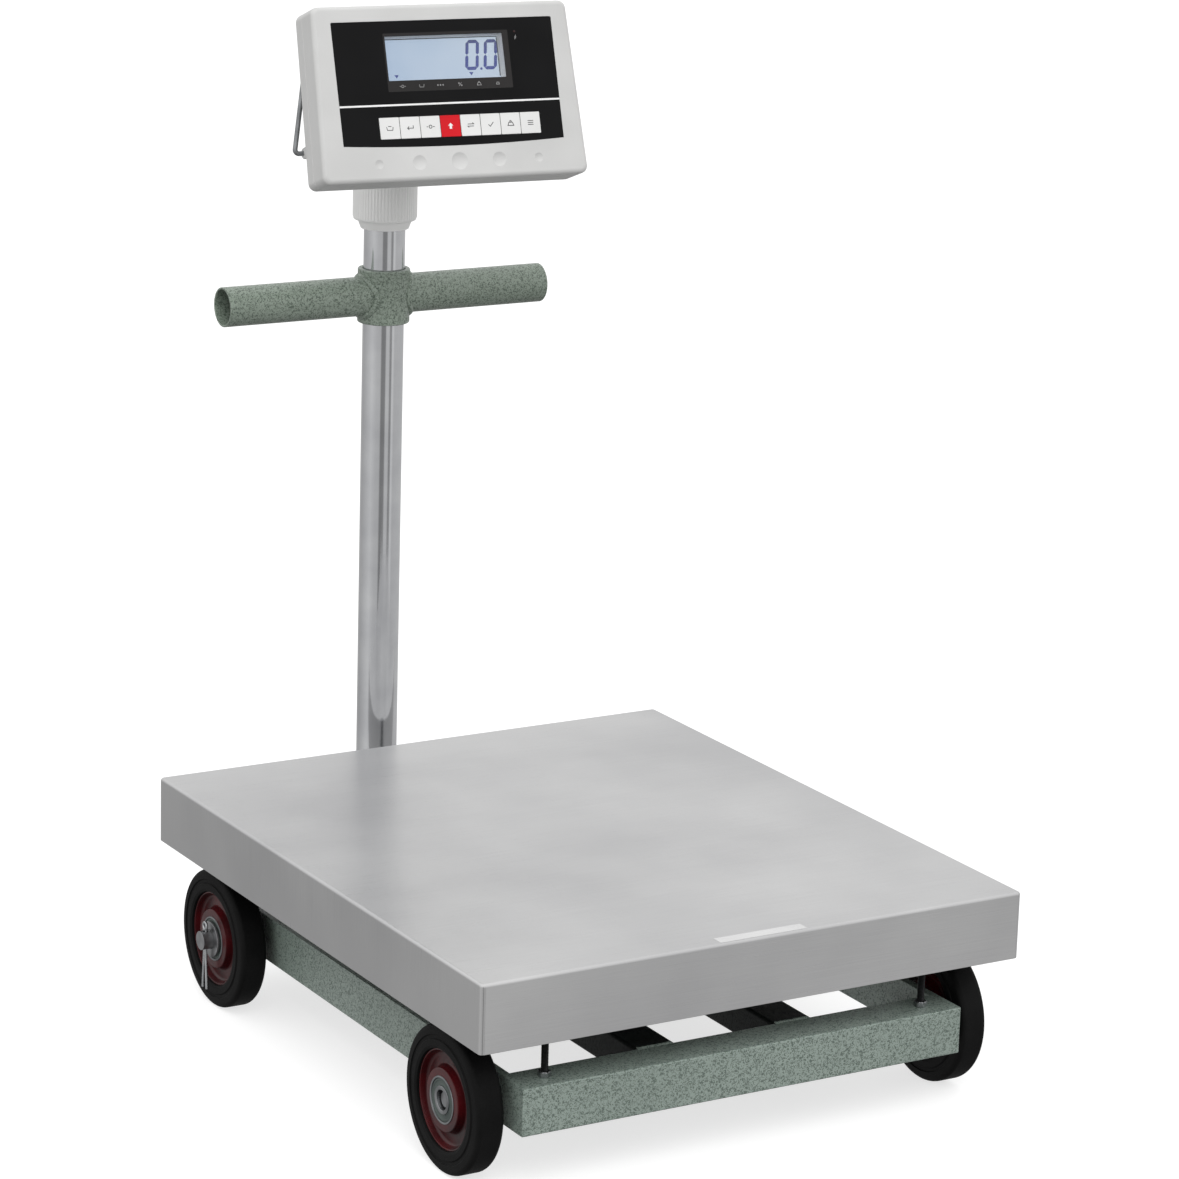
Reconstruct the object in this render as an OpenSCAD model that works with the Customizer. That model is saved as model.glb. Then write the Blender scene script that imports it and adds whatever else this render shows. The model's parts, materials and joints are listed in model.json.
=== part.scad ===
// Mobile platform scale: a stainless deck on a welded, wheeled base, with a
// weight indicator on a column behind it. Millimetres, +Z up, floor at Z = 0,
// front towards -Y. The origin is on the floor at the centre of the footprint.

/* [Deck] */
// Width of the stainless deck cover
deck_w = 520; // [500:1:560]
// Depth of the stainless deck cover
deck_d = 600; // [590:1:660]
// Height of the cover's skirt
deck_h = 59; // [45:1:62]
// Height of the weighing surface above the floor
deck_top = 191; // [189:1:200]
// Sheet thickness of the cover
sheet_t = 1.5; // [1:0.5:2]
// Downward travel of the deck before it meets the overload stops
deck_travel = 1; // [0.5:0.1:1.5]

/* [Base frame] */
// Overall width of the base frame
frame_w = 425; // [420:1:430]
// Overall depth of the base frame
frame_d = 575; // [570:1:580]
// Height of the underside of the frame
frame_z = 50; // [48:1:52]
// Height of the frame's outer members
frame_h = 41; // [40:1:42]
// Depth of the front and rear beams
beam_d = 38; // [34:1:42]
// Thickness of the flat side rails
rail_t = 8; // [6:1:10]
// Width of each inner bar
bar_w = 38; // [30:1:44]
// Height of each inner bar
bar_h = 30; // [26:1:34]
// Distance of each inner bar from the middle
bar_x = 67; // [60:1:75]

/* [Wheels] */
// Wheel diameter
wheel_d = 125; // [120:1:125]
// Wheel width over the tyre
wheel_w = 26; // [26:1:28]
// Distance of each axle from the deck's middle
axle_y = 215; // [205:1:220]
// Distance of a wheel's outer face from the middle
wheel_face_x = 248; // [247:1:249]

/* [Column] */
// Outer diameter of the column tube
column_d = 38; // [38:1:38]
// Sideways place of the column
column_x = -8; // [-14:1:0]
// Distance of the column behind the deck's middle
column_y = 361; // [355:1:370]
// Height of the handle's middle
handle_z = 603; // [560:1:615]
// Half length of the handle bar
handle_half = 163; // [150:1:180]
// Outer diameter of the handle bar
handle_d = 36; // [34:1:38]

/* [Indicator] */
// Width of the housing at its lower edge
head_w = 253; // [250:1:256]
// Width of the housing at its upper edge
head_top_w = 243; // [240:1:247]
// Height of the housing's face
head_h = 156; // [154:1:160]
// Height of the middle of the face above the floor
head_z = 810; // [804:1:814]
// Distance of the face from the column's axis
head_reach = 140; // [138:1:144]
// Backward tilt of the face
head_tilt = 18.5; // [15:0.5:20]
// Turn of the head about the column, positive to the left
head_yaw = -4.8; // [-20:0.1:20]

/* [Hidden] */

$fn = 64;
eps = 0.01;             // overshoot of a cut past a face
over = 1;               // overshoot of a cut through, or overlap of joined shapes
fit = 0.05;             // radial clearance of a running fit
gap = 0.3;              // clearance between faces of moving pieces

left = -1;
right = 1;
front = -1;
rear = 1;

// colours
hammer_green = [0.47, 0.54, 0.50];
steel = [0.72, 0.73, 0.74];
chrome = [0.82, 0.83, 0.85];
black_rubber = [0.08, 0.08, 0.08];
rim_red = [0.45, 0.10, 0.12];
pale_plastic = [0.86, 0.87, 0.87];
black = [0.06, 0.06, 0.07];

// frame heights
frame_top = frame_z + frame_h;
beam_y = frame_d / 2 - beam_d;      // inner face of a beam
beam_len = frame_w - 2 * rail_t;
tube_wall = 2.5;

// wheels and axles
wheel_r = wheel_d / 2;
axle_z = wheel_r;
axle_r = 8.5;
rim_r = 42;
web_r = 40.5;
hub_r = 26.5;
hub_w = 23;
web_w = 7;
tyre_round = 9;
bearing_r = 20;
bearing_w = 12;
inner_ring_r = 11.9;
ring_proud = 0.6;                    // how far the bearings stand out of the hub
web_fillet = 2;                      // slope between the rim's web and its hub and lip
lip_inset = 2;                       // from the tyre's side to the rim's lip
wheel_x = wheel_face_x - wheel_w / 2;
inner_end = hub_w / 2 + ring_proud;  // from the wheel's middle to a bearing's end
race_gap = 1.6;                      // width of a bearing's raised rings
seal_sink = 0.8;                     // how far a seal sits below its rings
race_slope = 0.5;                    // slope from a ring down to its seal
washer_r = 16;
washer_t = 2.5;
axle_front_end = wheel_face_x - 4;
axle_rear_end = wheel_face_x + 11;
pin_x = wheel_face_x + 6;
pin_wire_r = 1.5;
pin_leg = 46;
pin_spread = 4;
pin_ring_r = 4.5;
pin_leg_r = 0.9 * pin_wire_r;
pin_bend = 1;                        // from the axle down to the bend of the legs
wire_knuckle = 1.1;                  // a bend's roundness, as a share of the wire's radius

// load cell stack, from the frame's top up to the cover
plate_t = 8;
boss_h = 4;
cell = [60, 150, 40];
cell_bolt_y = 57;
cell_bolt_pitch = 30;
bolt_r = 4;
bolt_head_r = 6.5;
bolt_head_h = 5;
bolt_tail = 6;                       // thread that stands past a nut or a wall
cell_bore_r = 12;
cell_bore_gap = 4;
cell_z = frame_top + plate_t + boss_h;
upper_plate_z = cell_z + cell.z + boss_h;
spider_z = upper_plate_z + plate_t;
pad_h = 4.5;
spider_h = deck_top - sheet_t - pad_h - spider_z;
spider_w = 30;
spider_x = 183;
spider_len = 566;
cross_y = 32;
cross_w = 30;
pad_r = 12;
pad_inset = 25;                      // from a rail's end to the middle of its pad
plate_w = 2 * bar_x + bar_w;
plate_d = 170;
stop_x = 183;
stop_y = 269;
stop_rod_r = 3.2;
nut_flats = 10;
nut_h = 5;

// column and handle
column_r = column_d / 2;
column_wall = 1.5;
column_bottom = frame_z + 5;
column_top = 722;
socket_r = column_r + 4;
socket_h = 90;
arm_w = 50;
socket_bolt_z = [frame_z + 25, frame_z + 70];
gusset_t = 4;
gusset_h = 40;
gusset_inset = 5;
sleeve_r = 24;
sleeve_h = 50;
handle_wall = 2;
ferrule_r = 25;
ferrule_tip_r = 22;
ferrule_z = 665;
ferrule_h = 8;
thread_r = 24;
collar_r = 29.5;
collar_h = 42;
collar_rib_count = 60;
collar_groove_r = 0.9;
collar_land = 1.5;                   // plain band above and below the ribs
handle_overlap = 1;                  // how far a handle tube runs into its sleeve
cap_r = 27;
cap_h = 16;
shank_r = column_r - column_wall - fit;
shank_len = 60;
arm_step = 6;                        // from the ears' edge to the start of the arm
ear_root = 10;                       // how far the ears' feet run back along the arm

// indicator, in its own frame: X right, Y into the housing, Z up the face
face_round = 9;
shell_wall = 2.5;
parting = 24;
rim_depth = 42;
front_steps = [[3, 1.5], [1, 5]];    // inset and depth of each step of the front edge
back_step = [2, 4];                  // inset and height of the step of the back edge
bulge = [190, 18, 85];
bulge_z = -22.5;
bulge_back = rim_depth + bulge.y;
overlay_w = 210;
overlay_top = 63;
overlay_bottom = -45.3;
overlay_bow = 3;
bow_steps = 16;                      // straight pieces along the bowed edge
overlay_t = 0.5;
window = [112, 39];
window_z = 30;
window_t = 1.5;
window_seat = 0.2;                   // from the overlay's back to the window
panel = [120, 5, 45];
panel_y = 11;
tunnel_t = 1.5;                      // wall that runs back from the window to the panel
key_size = [18.7, 3.5, 18.9];
key_pitch = 19.2;
key_row = [7, -31];
key_count = 8;
key_proud = 0.4;
dimple_r = [4.1, 6.6, 7.8, 6.6, 4.1];
dimple_pitch = 38.1;
dimple_x = 2.8;
dimple_z = -62;
dimple_depth = 0.28;                 // as a share of each dimple's radius
board = [200, 1.6, 120];
board_y = 17;
battery_size = [97, 33, 66];
battery_y = 20;
screw_x = 112;
screw_z = 66;
screw_r = 1.5;
screw_boss_r = 4;
screw_head_r = 3.5;
screw_head_h = 2;
screw_start = shell_wall + 4;        // depth at which the case screws' tips lie
nut_r = 7.5;
nut_w = 6.5;
pivot_y = 84;
pivot_z = -35;
lug_w = 33.4;
lug_r = 11;
lug_plate = [60, 4, 50];             // pad that joins the lug to the housing
ear_t = 6;
ear_r = 12;
bail_r = 2;
bail_pivot = [128, 48, -42];
bail_boss_r = 5;
bail_boss_w = 16;
bail_boss_x = 116;                   // middle of each boss that holds the wire stand
bail_shoulder = [12, 66];            // inwards and up from the pivot to the upper bends
bail_top = [24, 76];                 // inwards and up from the pivot to the top bar's ends
rocker_w = 20;
rocker_half = 6.3;                   // from the switch's pivot to its ends
rocker_sunk = 1.8;                   // height of the end that is pressed in
rocker_raised = 3.4;
rocker_dip = 1.2;
rocker_depth = 5;
rocker_slot = 15;
rocker_pin_r = 0.8;
rocker_pin_len = 1.2;
rocker_at = [70, bulge_back - over, -40];
socket_at = [-70, bulge_back, -45];
dc_socket_r = 6;
dc_socket_len = 9.5;
dc_socket_proud = 1.5;

// the footprint runs from the deck's front edge to the back of the lock collar
origin_y = (column_y + collar_r - deck_d / 2) / 2;

// ---------- placing ----------

// from the deck's centre to the model's origin
module placed() {
    translate([0, -origin_y, 0]) children();
}

// from a frame on the column's axis, turned with the indicator
module on_column(z = 0) {
    placed() translate([column_x, column_y, z]) rotate([0, 0, head_yaw]) children();
}

// from the indicator's own frame
module on_head() {
    on_column(head_z) translate([0, -head_reach, 0]) rotate([-head_tilt, 0, 0]) children();
}

// axes laid along X and Y
module along_x() rotate([0, 90, 0]) children();
module along_y() rotate([-90, 0, 0]) children();

// ---------- shared shapes ----------

// box given by its middle in X and Y and its underside
module slab(size, at = [0, 0, 0]) {
    translate([at.x - size.x / 2, at.y - size.y / 2, at.z]) cube(size);
}

// box tube, open at both ends of its length along Y
module tube_y(w, len, h, wall) {
    difference() {
        slab([w, len, h]);
        translate([0, 0, wall]) slab([w - 2 * wall, len + 2 * eps, h - 2 * wall]);
    }
}

// box tube, open at both ends of its length along X
module tube_x(len, w, h, wall) {
    rotate([0, 0, 90]) tube_y(w, len, h, wall);
}

// bent wire through a list of points, with a knuckle at each bend
module wire(points, r) {
    for (i = [1:len(points) - 1]) {
        p = points[i - 1];
        v = points[i] - p;
        translate(p)
            rotate([0, acos(v.z / norm(v)), atan2(v.y, v.x)]) cylinder(h = norm(v), r = r);
        if (i < len(points) - 1)
            translate(points[i]) sphere(r = wire_knuckle * r, $fn = 24);
    }
}

// bolt standing on its head, with the head's underside at Z = 0
module bolt(len, r = bolt_r) {
    translate([0, 0, -bolt_head_h]) cylinder(h = bolt_head_h, r = bolt_head_r);
    translate([0, 0, -eps]) cylinder(h = len + eps, r = r);
}

// corner arc of an outline
function arc_points(c, r, from, steps = 8) =
    [for (i = [0:steps]) c + r * [cos(from + 90 * i / steps), sin(from + 90 * i / steps)]];

// housing outline seen from the front, inset evenly
function head_outline(inset = 0) =
    let (
        r = face_round - min(inset, face_round - 2),
        zt = head_h / 2 - inset - r,
        xt = head_top_w / 2 - inset - r,
        xb = head_w / 2 - inset - r
    )
    concat(
        arc_points([xt, zt], r, 0),
        arc_points([-xt, zt], r, 90),
        arc_points([-xb, -zt], r, 180),
        arc_points([xb, -zt], r, 270)
    );

// prism that fills an outline from one depth to another
module head_prism(inset, y0, y1) {
    translate([0, y1, 0]) rotate([90, 0, 0])
        linear_extrude(height = y1 - y0) polygon(head_outline(inset));
}

// overlay outline: straight sides, lower edge bowed down
function overlay_points(grow = 0) =
    concat(
        [[-overlay_w / 2 - grow, overlay_top + grow]],
        [for (i = [0:bow_steps])
            let (s = 2 * i / bow_steps - 1)
            [s * (overlay_w / 2 + grow), overlay_bottom - grow - overlay_bow * (1 - s * s)]],
        [[overlay_w / 2 + grow, overlay_top + grow]]
    );

module overlay_prism(grow, y0, y1) {
    translate([0, y1, 0]) rotate([90, 0, 0])
        linear_extrude(height = y1 - y0) polygon(overlay_points(grow));
}

// opening that the whole row of keys stands in
module key_slot(y0, y1) {
    w = key_count * key_pitch + gap;
    h = key_size.z + 2 * gap;
    translate([key_row.x - w / 2, y0, key_row.y - h / 2]) cube([w, y1 - y0, h]);
}

module window_slot(y0, y1, grow = 0) {
    translate([-window.x / 2 - grow, y0, window_z - window.y / 2 - grow])
        cube([window.x + 2 * grow, y1 - y0, window.y + 2 * grow]);
}

// places of the four case screws
module at_case_screws() {
    for (sx = [-1, 1], sz = [-1, 1])
        translate([sx * screw_x, 0, sz * screw_z]) children();
}

// places of the load cell's bolts, at one end of the cell
module at_cell_bolts(side) {
    for (sx = [-1, 1])
        translate([sx * cell_bolt_pitch / 2, side * cell_bolt_y, 0]) children();
}

// ---------- base ----------

module beam(side) {
    color(hammer_green) placed()
        translate([0, side * (frame_d - beam_d) / 2, frame_z])
            difference() {
                tube_x(beam_len, beam_d, frame_h, tube_wall);
                for (sx = [-1, 1])
                    translate([sx * stop_x, side * (stop_y - (frame_d - beam_d) / 2), frame_h / 2])
                        cylinder(h = frame_h, r = stop_rod_r);
            }
}

module side_rail(side) {
    color(hammer_green) placed()
        difference() {
            slab([rail_t, frame_d, frame_h], [side * (frame_w - rail_t) / 2, 0, frame_z]);
            for (s = [front, rear])
                translate([side * frame_w / 2 - frame_w / 4, s * axle_y, axle_z])
                    along_x() cylinder(h = frame_w / 2, r = axle_r);
        }
}

module inner_bar(side) {
    color(hammer_green) placed()
        difference() {
            translate([side * bar_x, 0, frame_top - bar_h])
                tube_y(bar_w, 2 * beam_y, bar_h, tube_wall);
            for (s = [front, rear])
                translate([-frame_w / 2, s * axle_y, axle_z])
                    along_x() cylinder(h = frame_w, r = axle_r + gap);
        }
}

// arm welded to the rear beam, with the socket that holds the column
module column_bracket() {
    arm_y = frame_d / 2;
    arm_len = column_y - arm_y;
    color(hammer_green) placed()
        difference() {
            union() {
                slab([arm_w, arm_len, frame_h],
                    [column_x, (column_y + arm_y) / 2, frame_z]);
                translate([column_x, column_y, frame_z]) cylinder(h = socket_h, r = socket_r);
                for (sx = [-1, 1])
                    translate([column_x + sx * (socket_r - gusset_inset), arm_y, frame_top - eps])
                        rotate([90, 0, 90])
                            linear_extrude(height = gusset_t, center = true)
                                polygon([[0, 0], [arm_len, 0], [arm_len, gusset_h]]);
            }
            translate([column_x, column_y, column_bottom])
                cylinder(h = socket_h, r = column_r);
            for (z = socket_bolt_z)
                translate([column_x - frame_w / 8, column_y, z])
                    along_x() cylinder(h = frame_w / 4, r = bolt_r);
        }
}

// socket bolts and the bolts under the load cell
module frame_bolts() {
    color(steel) placed() {
        translate([column_x, column_y, socket_bolt_z[1]])
            translate([-socket_r, 0, 0]) along_x() bolt(2 * socket_r + bolt_tail);
        translate([column_x, column_y, socket_bolt_z[0]])
            translate([-arm_w / 2, 0, 0]) along_x() bolt(arm_w + bolt_tail);
        at_cell_bolts(front) translate([0, 0, frame_top]) bolt(plate_t + boss_h + cell.z / 2);
    }
}

module axle(side, end) {
    color(steel) placed()
        translate([-end, side * axle_y, axle_z]) along_x()
            difference() {
                cylinder(h = 2 * end, r = axle_r);
                if (side == rear)
                    for (x = [end - pin_x, end + pin_x])
                        translate([0, 0, x]) rotate([0, 90, 0])
                            cylinder(h = 3 * axle_r, r = 2 * pin_wire_r, center = true);
            }
}

// split pin through the axle: a ring on top and two legs that hang and spread
module split_pin() {
    bend_z = -axle_r - pin_bend;
    for (s = [-1, 1])
        wire([[0, s * pin_wire_r, axle_r], [0, s * pin_wire_r, bend_z],
            [0, s * pin_spread, -pin_leg]], pin_leg_r);
    translate([0, 0, axle_r + pin_ring_r])
        rotate([0, 90, 0]) rotate_extrude()
            translate([pin_ring_r - pin_wire_r, 0]) circle(r = pin_wire_r, $fn = 24);
}

// spacers inside the wheels, and the washers and split pins outside
module axle_retainers() {
    spacer = wheel_x - inner_end - frame_w / 2;
    color(chrome) placed()
        for (sx = [left, right], s = [front, rear])
            translate([0, s * axle_y, axle_z]) {
                translate([sx * (frame_w / 2 + spacer / 2), 0, 0]) along_x()
                    ring(axle_r, inner_ring_r, spacer);
                if (s == rear) {
                    translate([sx * (wheel_x + inner_end + washer_t / 2), 0, 0]) along_x()
                        ring(axle_r, washer_r, washer_t);
                    translate([sx * pin_x, 0, 0]) split_pin();
                }
            }
}

// flat ring centred on its axis
module ring(r_in, r_out, h) {
    difference() {
        cylinder(h = h, r = r_out, center = true);
        cylinder(h = h + 2 * eps, r = r_in, center = true);
    }
}

// inner rings of the eight wheel bearings, which stay on the axles
module bearing_inners() {
    color(steel) placed()
        for (sx = [left, right], s = [front, rear])
            translate([sx * wheel_x, s * axle_y, axle_z]) along_x()
                ring(axle_r, inner_ring_r, 2 * inner_end);
}

// studs that stop the deck before the load cell is overloaded
module overload_stops() {
    top = spider_z - deck_travel;
    bottom = frame_z + frame_h / 2;
    color(black) placed()
        for (sx = [-1, 1], sy = [-1, 1])
            translate([sx * stop_x, sy * stop_y, 0]) {
                translate([0, 0, bottom]) cylinder(h = top - bottom, r = stop_rod_r);
                translate([0, 0, frame_top])
                    cylinder(h = nut_h, r = nut_flats / 2 / cos(30), $fn = 6);
            }
}

module cell_plate_lower() {
    color(hammer_green) placed()
        difference() {
            union() {
                slab([plate_w, plate_d, plate_t], [0, 0, frame_top]);
                slab([cell.x, cell_bolt_pitch, boss_h + eps],
                    [0, -cell_bolt_y, frame_top + plate_t - eps]);
            }
            at_cell_bolts(front) cylinder(h = deck_top, r = bolt_r);
        }
}

// bending beam with two strain bores in its middle
module load_cell() {
    bore_x = cell_bore_r + cell_bore_gap / 2;
    color(chrome) placed()
        difference() {
            slab(cell, [0, 0, cell_z]);
            for (sy = [-1, 1])
                translate([-cell.x, sy * bore_x, cell_z + cell.z / 2])
                    along_x() cylinder(h = 2 * cell.x, r = cell_bore_r);
            at_cell_bolts(front) cylinder(h = cell_z + cell.z / 2, r = bolt_r);
            at_cell_bolts(rear)
                translate([0, 0, cell_z + cell.z / 2]) cylinder(h = cell.z, r = bolt_r + fit);
        }
}

// ---------- column ----------

module column_tube() {
    color(chrome) placed()
        translate([column_x, column_y, 0])
            difference() {
                translate([0, 0, column_bottom])
                    cylinder(h = column_top - column_bottom, r = column_r);
                translate([0, 0, column_bottom - eps])
                    cylinder(h = column_top, r = column_r - column_wall);
                for (z = socket_bolt_z)
                    translate([-column_d, 0, z]) along_x() cylinder(h = 2 * column_d, r = bolt_r);
            }
}

// T-shaped handle: sleeve on the column with an open tube welded to each side
module handle() {
    inner = sqrt(sleeve_r * sleeve_r - handle_d * handle_d / 4) - handle_overlap;
    color(hammer_green) placed()
        translate([column_x, column_y, handle_z])
            difference() {
                union() {
                    cylinder(h = sleeve_h, r = sleeve_r, center = true);
                    for (sx = [-1, 1])
                        translate([sx * (inner + handle_half) / 2, 0, 0]) along_x()
                            cylinder(h = handle_half - inner, r = handle_d / 2, center = true);
                }
                cylinder(h = sleeve_h + 2 * eps, r = column_r, center = true);
                for (sx = [-1, 1])
                    translate([sx * (sleeve_r + handle_half) / 2, 0, 0]) along_x()
                        cylinder(h = handle_half - sleeve_r + 2 * eps,
                            r = handle_d / 2 - handle_wall, center = true);
            }
}

// plastic sleeve on the column's top, with a tapered skirt below its thread
module column_ferrule() {
    color(pale_plastic) placed()
        translate([column_x, column_y, 0])
            rotate_extrude()
                polygon([
                    [column_r, ferrule_z],
                    [ferrule_tip_r, ferrule_z],
                    [ferrule_r, ferrule_z + ferrule_h],
                    [thread_r, ferrule_z + ferrule_h],
                    [thread_r, column_top],
                    [column_r, column_top]
                ]);
}

// ribbed ring that clamps the swivel
module lock_collar() {
    color(pale_plastic) placed()
        translate([column_x, column_y, ferrule_z + ferrule_h + gap])
            difference() {
                cylinder(h = collar_h, r = collar_r);
                translate([0, 0, -eps]) cylinder(h = collar_h + 2 * eps, r = thread_r + fit);
                for (i = [0:collar_rib_count - 1])
                    rotate([0, 0, (i + 0.5) * 360 / collar_rib_count])
                        translate([collar_r + collar_groove_r / 3, 0, collar_land])
                            cylinder(h = collar_h - 2 * collar_land, r = collar_groove_r, $fn = 8);
            }
}

// ---------- wheels ----------

// tyre with rounded shoulders, bonded to the rim
module tyre(sx, s) {
    half = wheel_w / 2;
    side_r = wheel_r - tyre_round;
    color(black_rubber) placed()
        translate([sx * wheel_x, s * axle_y, axle_z]) along_x()
            rotate_extrude($fn = 96)
                union() {
                    translate([rim_r, -half]) square([side_r - rim_r, wheel_w]);
                    translate([rim_r, -half + tyre_round])
                        square([wheel_r - rim_r, wheel_w - 2 * tyre_round]);
                    for (z = [-1, 1])
                        translate([side_r, z * (half - tyre_round)])
                            circle(r = tyre_round, $fn = 32);
                }
}

// rim with a recessed web and a raised hub
module rim(sx, s) {
    lip = wheel_w / 2 - lip_inset;
    web = web_w / 2;
    color(rim_red) placed()
        translate([sx * wheel_x, s * axle_y, axle_z]) along_x()
            rotate_extrude($fn = 96)
                polygon([
                    [bearing_r, -hub_w / 2], [hub_r, -hub_w / 2],
                    [hub_r + web_fillet, -web], [web_r - web_fillet, -web],
                    [web_r, -lip], [rim_r, -lip], [rim_r, lip], [web_r, lip],
                    [web_r - web_fillet, web], [hub_r + web_fillet, web],
                    [hub_r, hub_w / 2], [bearing_r, hub_w / 2]
                ]);
}

// outer rings and seals of a wheel's two bearings
module bearing(sx, s) {
    bore = inner_ring_r + fit;
    color(steel) placed()
        translate([sx * wheel_x, s * axle_y, axle_z]) along_x()
            for (z = [-1, 1])
                mirror([0, 0, z < 0 ? 1 : 0])
                    rotate_extrude()
                        polygon([
                            [bore, inner_end - bearing_w], [bearing_r, inner_end - bearing_w],
                            [bearing_r, inner_end], [bearing_r - race_gap, inner_end],
                            [bearing_r - race_gap - race_slope, inner_end - seal_sink],
                            [bore, inner_end - seal_sink]
                        ]);
}

// ---------- deck ----------

module spider_rail(side) {
    color(hammer_green) placed()
        translate([side * spider_x, 0, spider_z])
            tube_y(spider_w, spider_len, spider_h, tube_wall);
}

module spider_cross() {
    color(hammer_green) placed()
        for (s = [-1, 1])
            translate([0, s * cross_y, spider_z])
                tube_x(2 * spider_x - spider_w, cross_w, spider_h, tube_wall);
}

module cell_plate_upper() {
    color(hammer_green) placed()
        difference() {
            union() {
                slab([plate_w, plate_d, plate_t], [0, 0, upper_plate_z]);
                slab([cell.x, cell_bolt_pitch, boss_h],
                    [0, cell_bolt_y, upper_plate_z - boss_h]);
            }
            at_cell_bolts(rear) cylinder(h = deck_top, r = bolt_r);
        }
}

// bolts from the upper plate down into the load cell
module deck_bolts() {
    reach = plate_t + boss_h + cell.z / 2;
    color(steel) placed()
        at_cell_bolts(rear)
            translate([0, 0, spider_z]) mirror([0, 0, 1]) bolt(reach);
}

module deck_pads() {
    color(black_rubber) placed()
        for (sx = [-1, 1], sy = [-1, 1])
            translate([sx * spider_x, sy * (spider_len / 2 - pad_inset), spider_z + spider_h])
                cylinder(h = pad_h, r = pad_r);
}

// folded stainless tray that lifts off the pads
module deck_cover() {
    color(steel) placed()
        translate([0, 0, deck_top - deck_h])
            difference() {
                slab([deck_w, deck_d, deck_h]);
                translate([0, 0, -sheet_t])
                    slab([deck_w - 2 * sheet_t, deck_d - 2 * sheet_t, deck_h]);
            }
}

// ---------- indicator mount ----------

// shank in the column, cap, arm and the two ears of the tilt fork
module swivel_head() {
    ear_x = lug_w / 2 + gap;
    base_z = column_top + gap;
    fork_back = head_reach - pivot_y * cos(head_tilt) - pivot_z * sin(head_tilt);
    fork_z = head_z - pivot_y * sin(head_tilt) + pivot_z * cos(head_tilt);
    root_y = -fork_back + ear_r + arm_step;
    color(pale_plastic)
        on_column()
            difference() {
                union() {
                    translate([0, 0, base_z - shank_len])
                        cylinder(h = shank_len + over, r = shank_r);
                    translate([0, 0, base_z]) cylinder(h = cap_h, r = cap_r);
                    translate([-ear_x - ear_t, root_y, base_z])
                        cube([2 * (ear_x + ear_t), -root_y, cap_h]);
                    for (sx = [-1, 1])
                        translate([sx * (ear_x + ear_t / 2), 0, 0]) hull() {
                            translate([0, -fork_back, fork_z]) along_x()
                                cylinder(h = ear_t, r = ear_r, center = true);
                            translate([-ear_t / 2, -fork_back, base_z])
                                cube([ear_t, root_y + fork_back + ear_root, cap_h]);
                        }
                }
                translate([0, -fork_back, fork_z]) along_x()
                    cylinder(h = 4 * ear_x, r = bolt_r, center = true);
                translate([0, 0, base_z - shank_len - eps])
                    cylinder(h = shank_len + cap_h + over, r = bolt_head_r);
            }
}

// bolt and nut through the fork
module tilt_bolt() {
    grip = lug_w / 2 + gap + ear_t;
    color(steel)
        on_head() translate([0, pivot_y, pivot_z]) {
            translate([-grip, 0, 0]) along_x()
                bolt(2 * grip + nut_w + bolt_tail / 2);
            translate([grip, 0, 0]) along_x()
                difference() {
                    cylinder(h = nut_w, r = nut_r, $fn = 6);
                    translate([0, 0, -eps]) cylinder(h = nut_w + 2 * eps, r = bolt_r);
                }
        }
}

// lug on the back of the housing that turns in the fork
module tilt_lug() {
    color(pale_plastic)
        on_head()
            difference() {
                union() {
                    translate([-lug_plate.x / 2, bulge_back, pivot_z - lug_plate.z / 2])
                        cube(lug_plate);
                    translate([-lug_w / 2, bulge_back + over, pivot_z - lug_r])
                        cube([lug_w, pivot_y - bulge_back - over, 2 * lug_r]);
                    translate([0, pivot_y, pivot_z]) along_x()
                        cylinder(h = lug_w, r = lug_r, center = true);
                }
                translate([0, pivot_y, pivot_z]) along_x()
                    cylinder(h = lug_w + 2 * over, r = bolt_r + fit, center = true);
            }
}

// ---------- indicator ----------

module front_shell() {
    color(pale_plastic)
        on_head()
            difference() {
                union() {
                    difference() {
                        union() {
                            head_prism(front_steps[0][0], 0, front_steps[0][1]);
                            head_prism(front_steps[1][0], front_steps[0][1], front_steps[1][1]);
                            head_prism(0, front_steps[1][1], parting);
                        }
                        head_prism(shell_wall, shell_wall, parting + eps);
                    }
                    window_slot(shell_wall - eps, panel_y - gap, tunnel_t);
                    at_case_screws() translate([0, shell_wall - eps, 0])
                        along_y() cylinder(h = parting - shell_wall, r = screw_boss_r);
                }
                overlay_prism(gap / 2, -over, overlay_t);
                window_slot(-over, parting);
                key_slot(-over, parting);
                for (i = [0:len(dimple_r) - 1]) {
                    r = dimple_r[i];
                    x = dimple_x + (i - (len(dimple_r) - 1) / 2) * dimple_pitch;
                    ball = r * (1 + dimple_depth * dimple_depth) / (2 * dimple_depth);
                    translate([x, r * dimple_depth - ball, dimple_z])
                        sphere(r = ball);
                }
                at_case_screws() translate([0, screw_start - gap, 0])
                    along_y() cylinder(h = parting, r = screw_r);
            }
}

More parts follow.
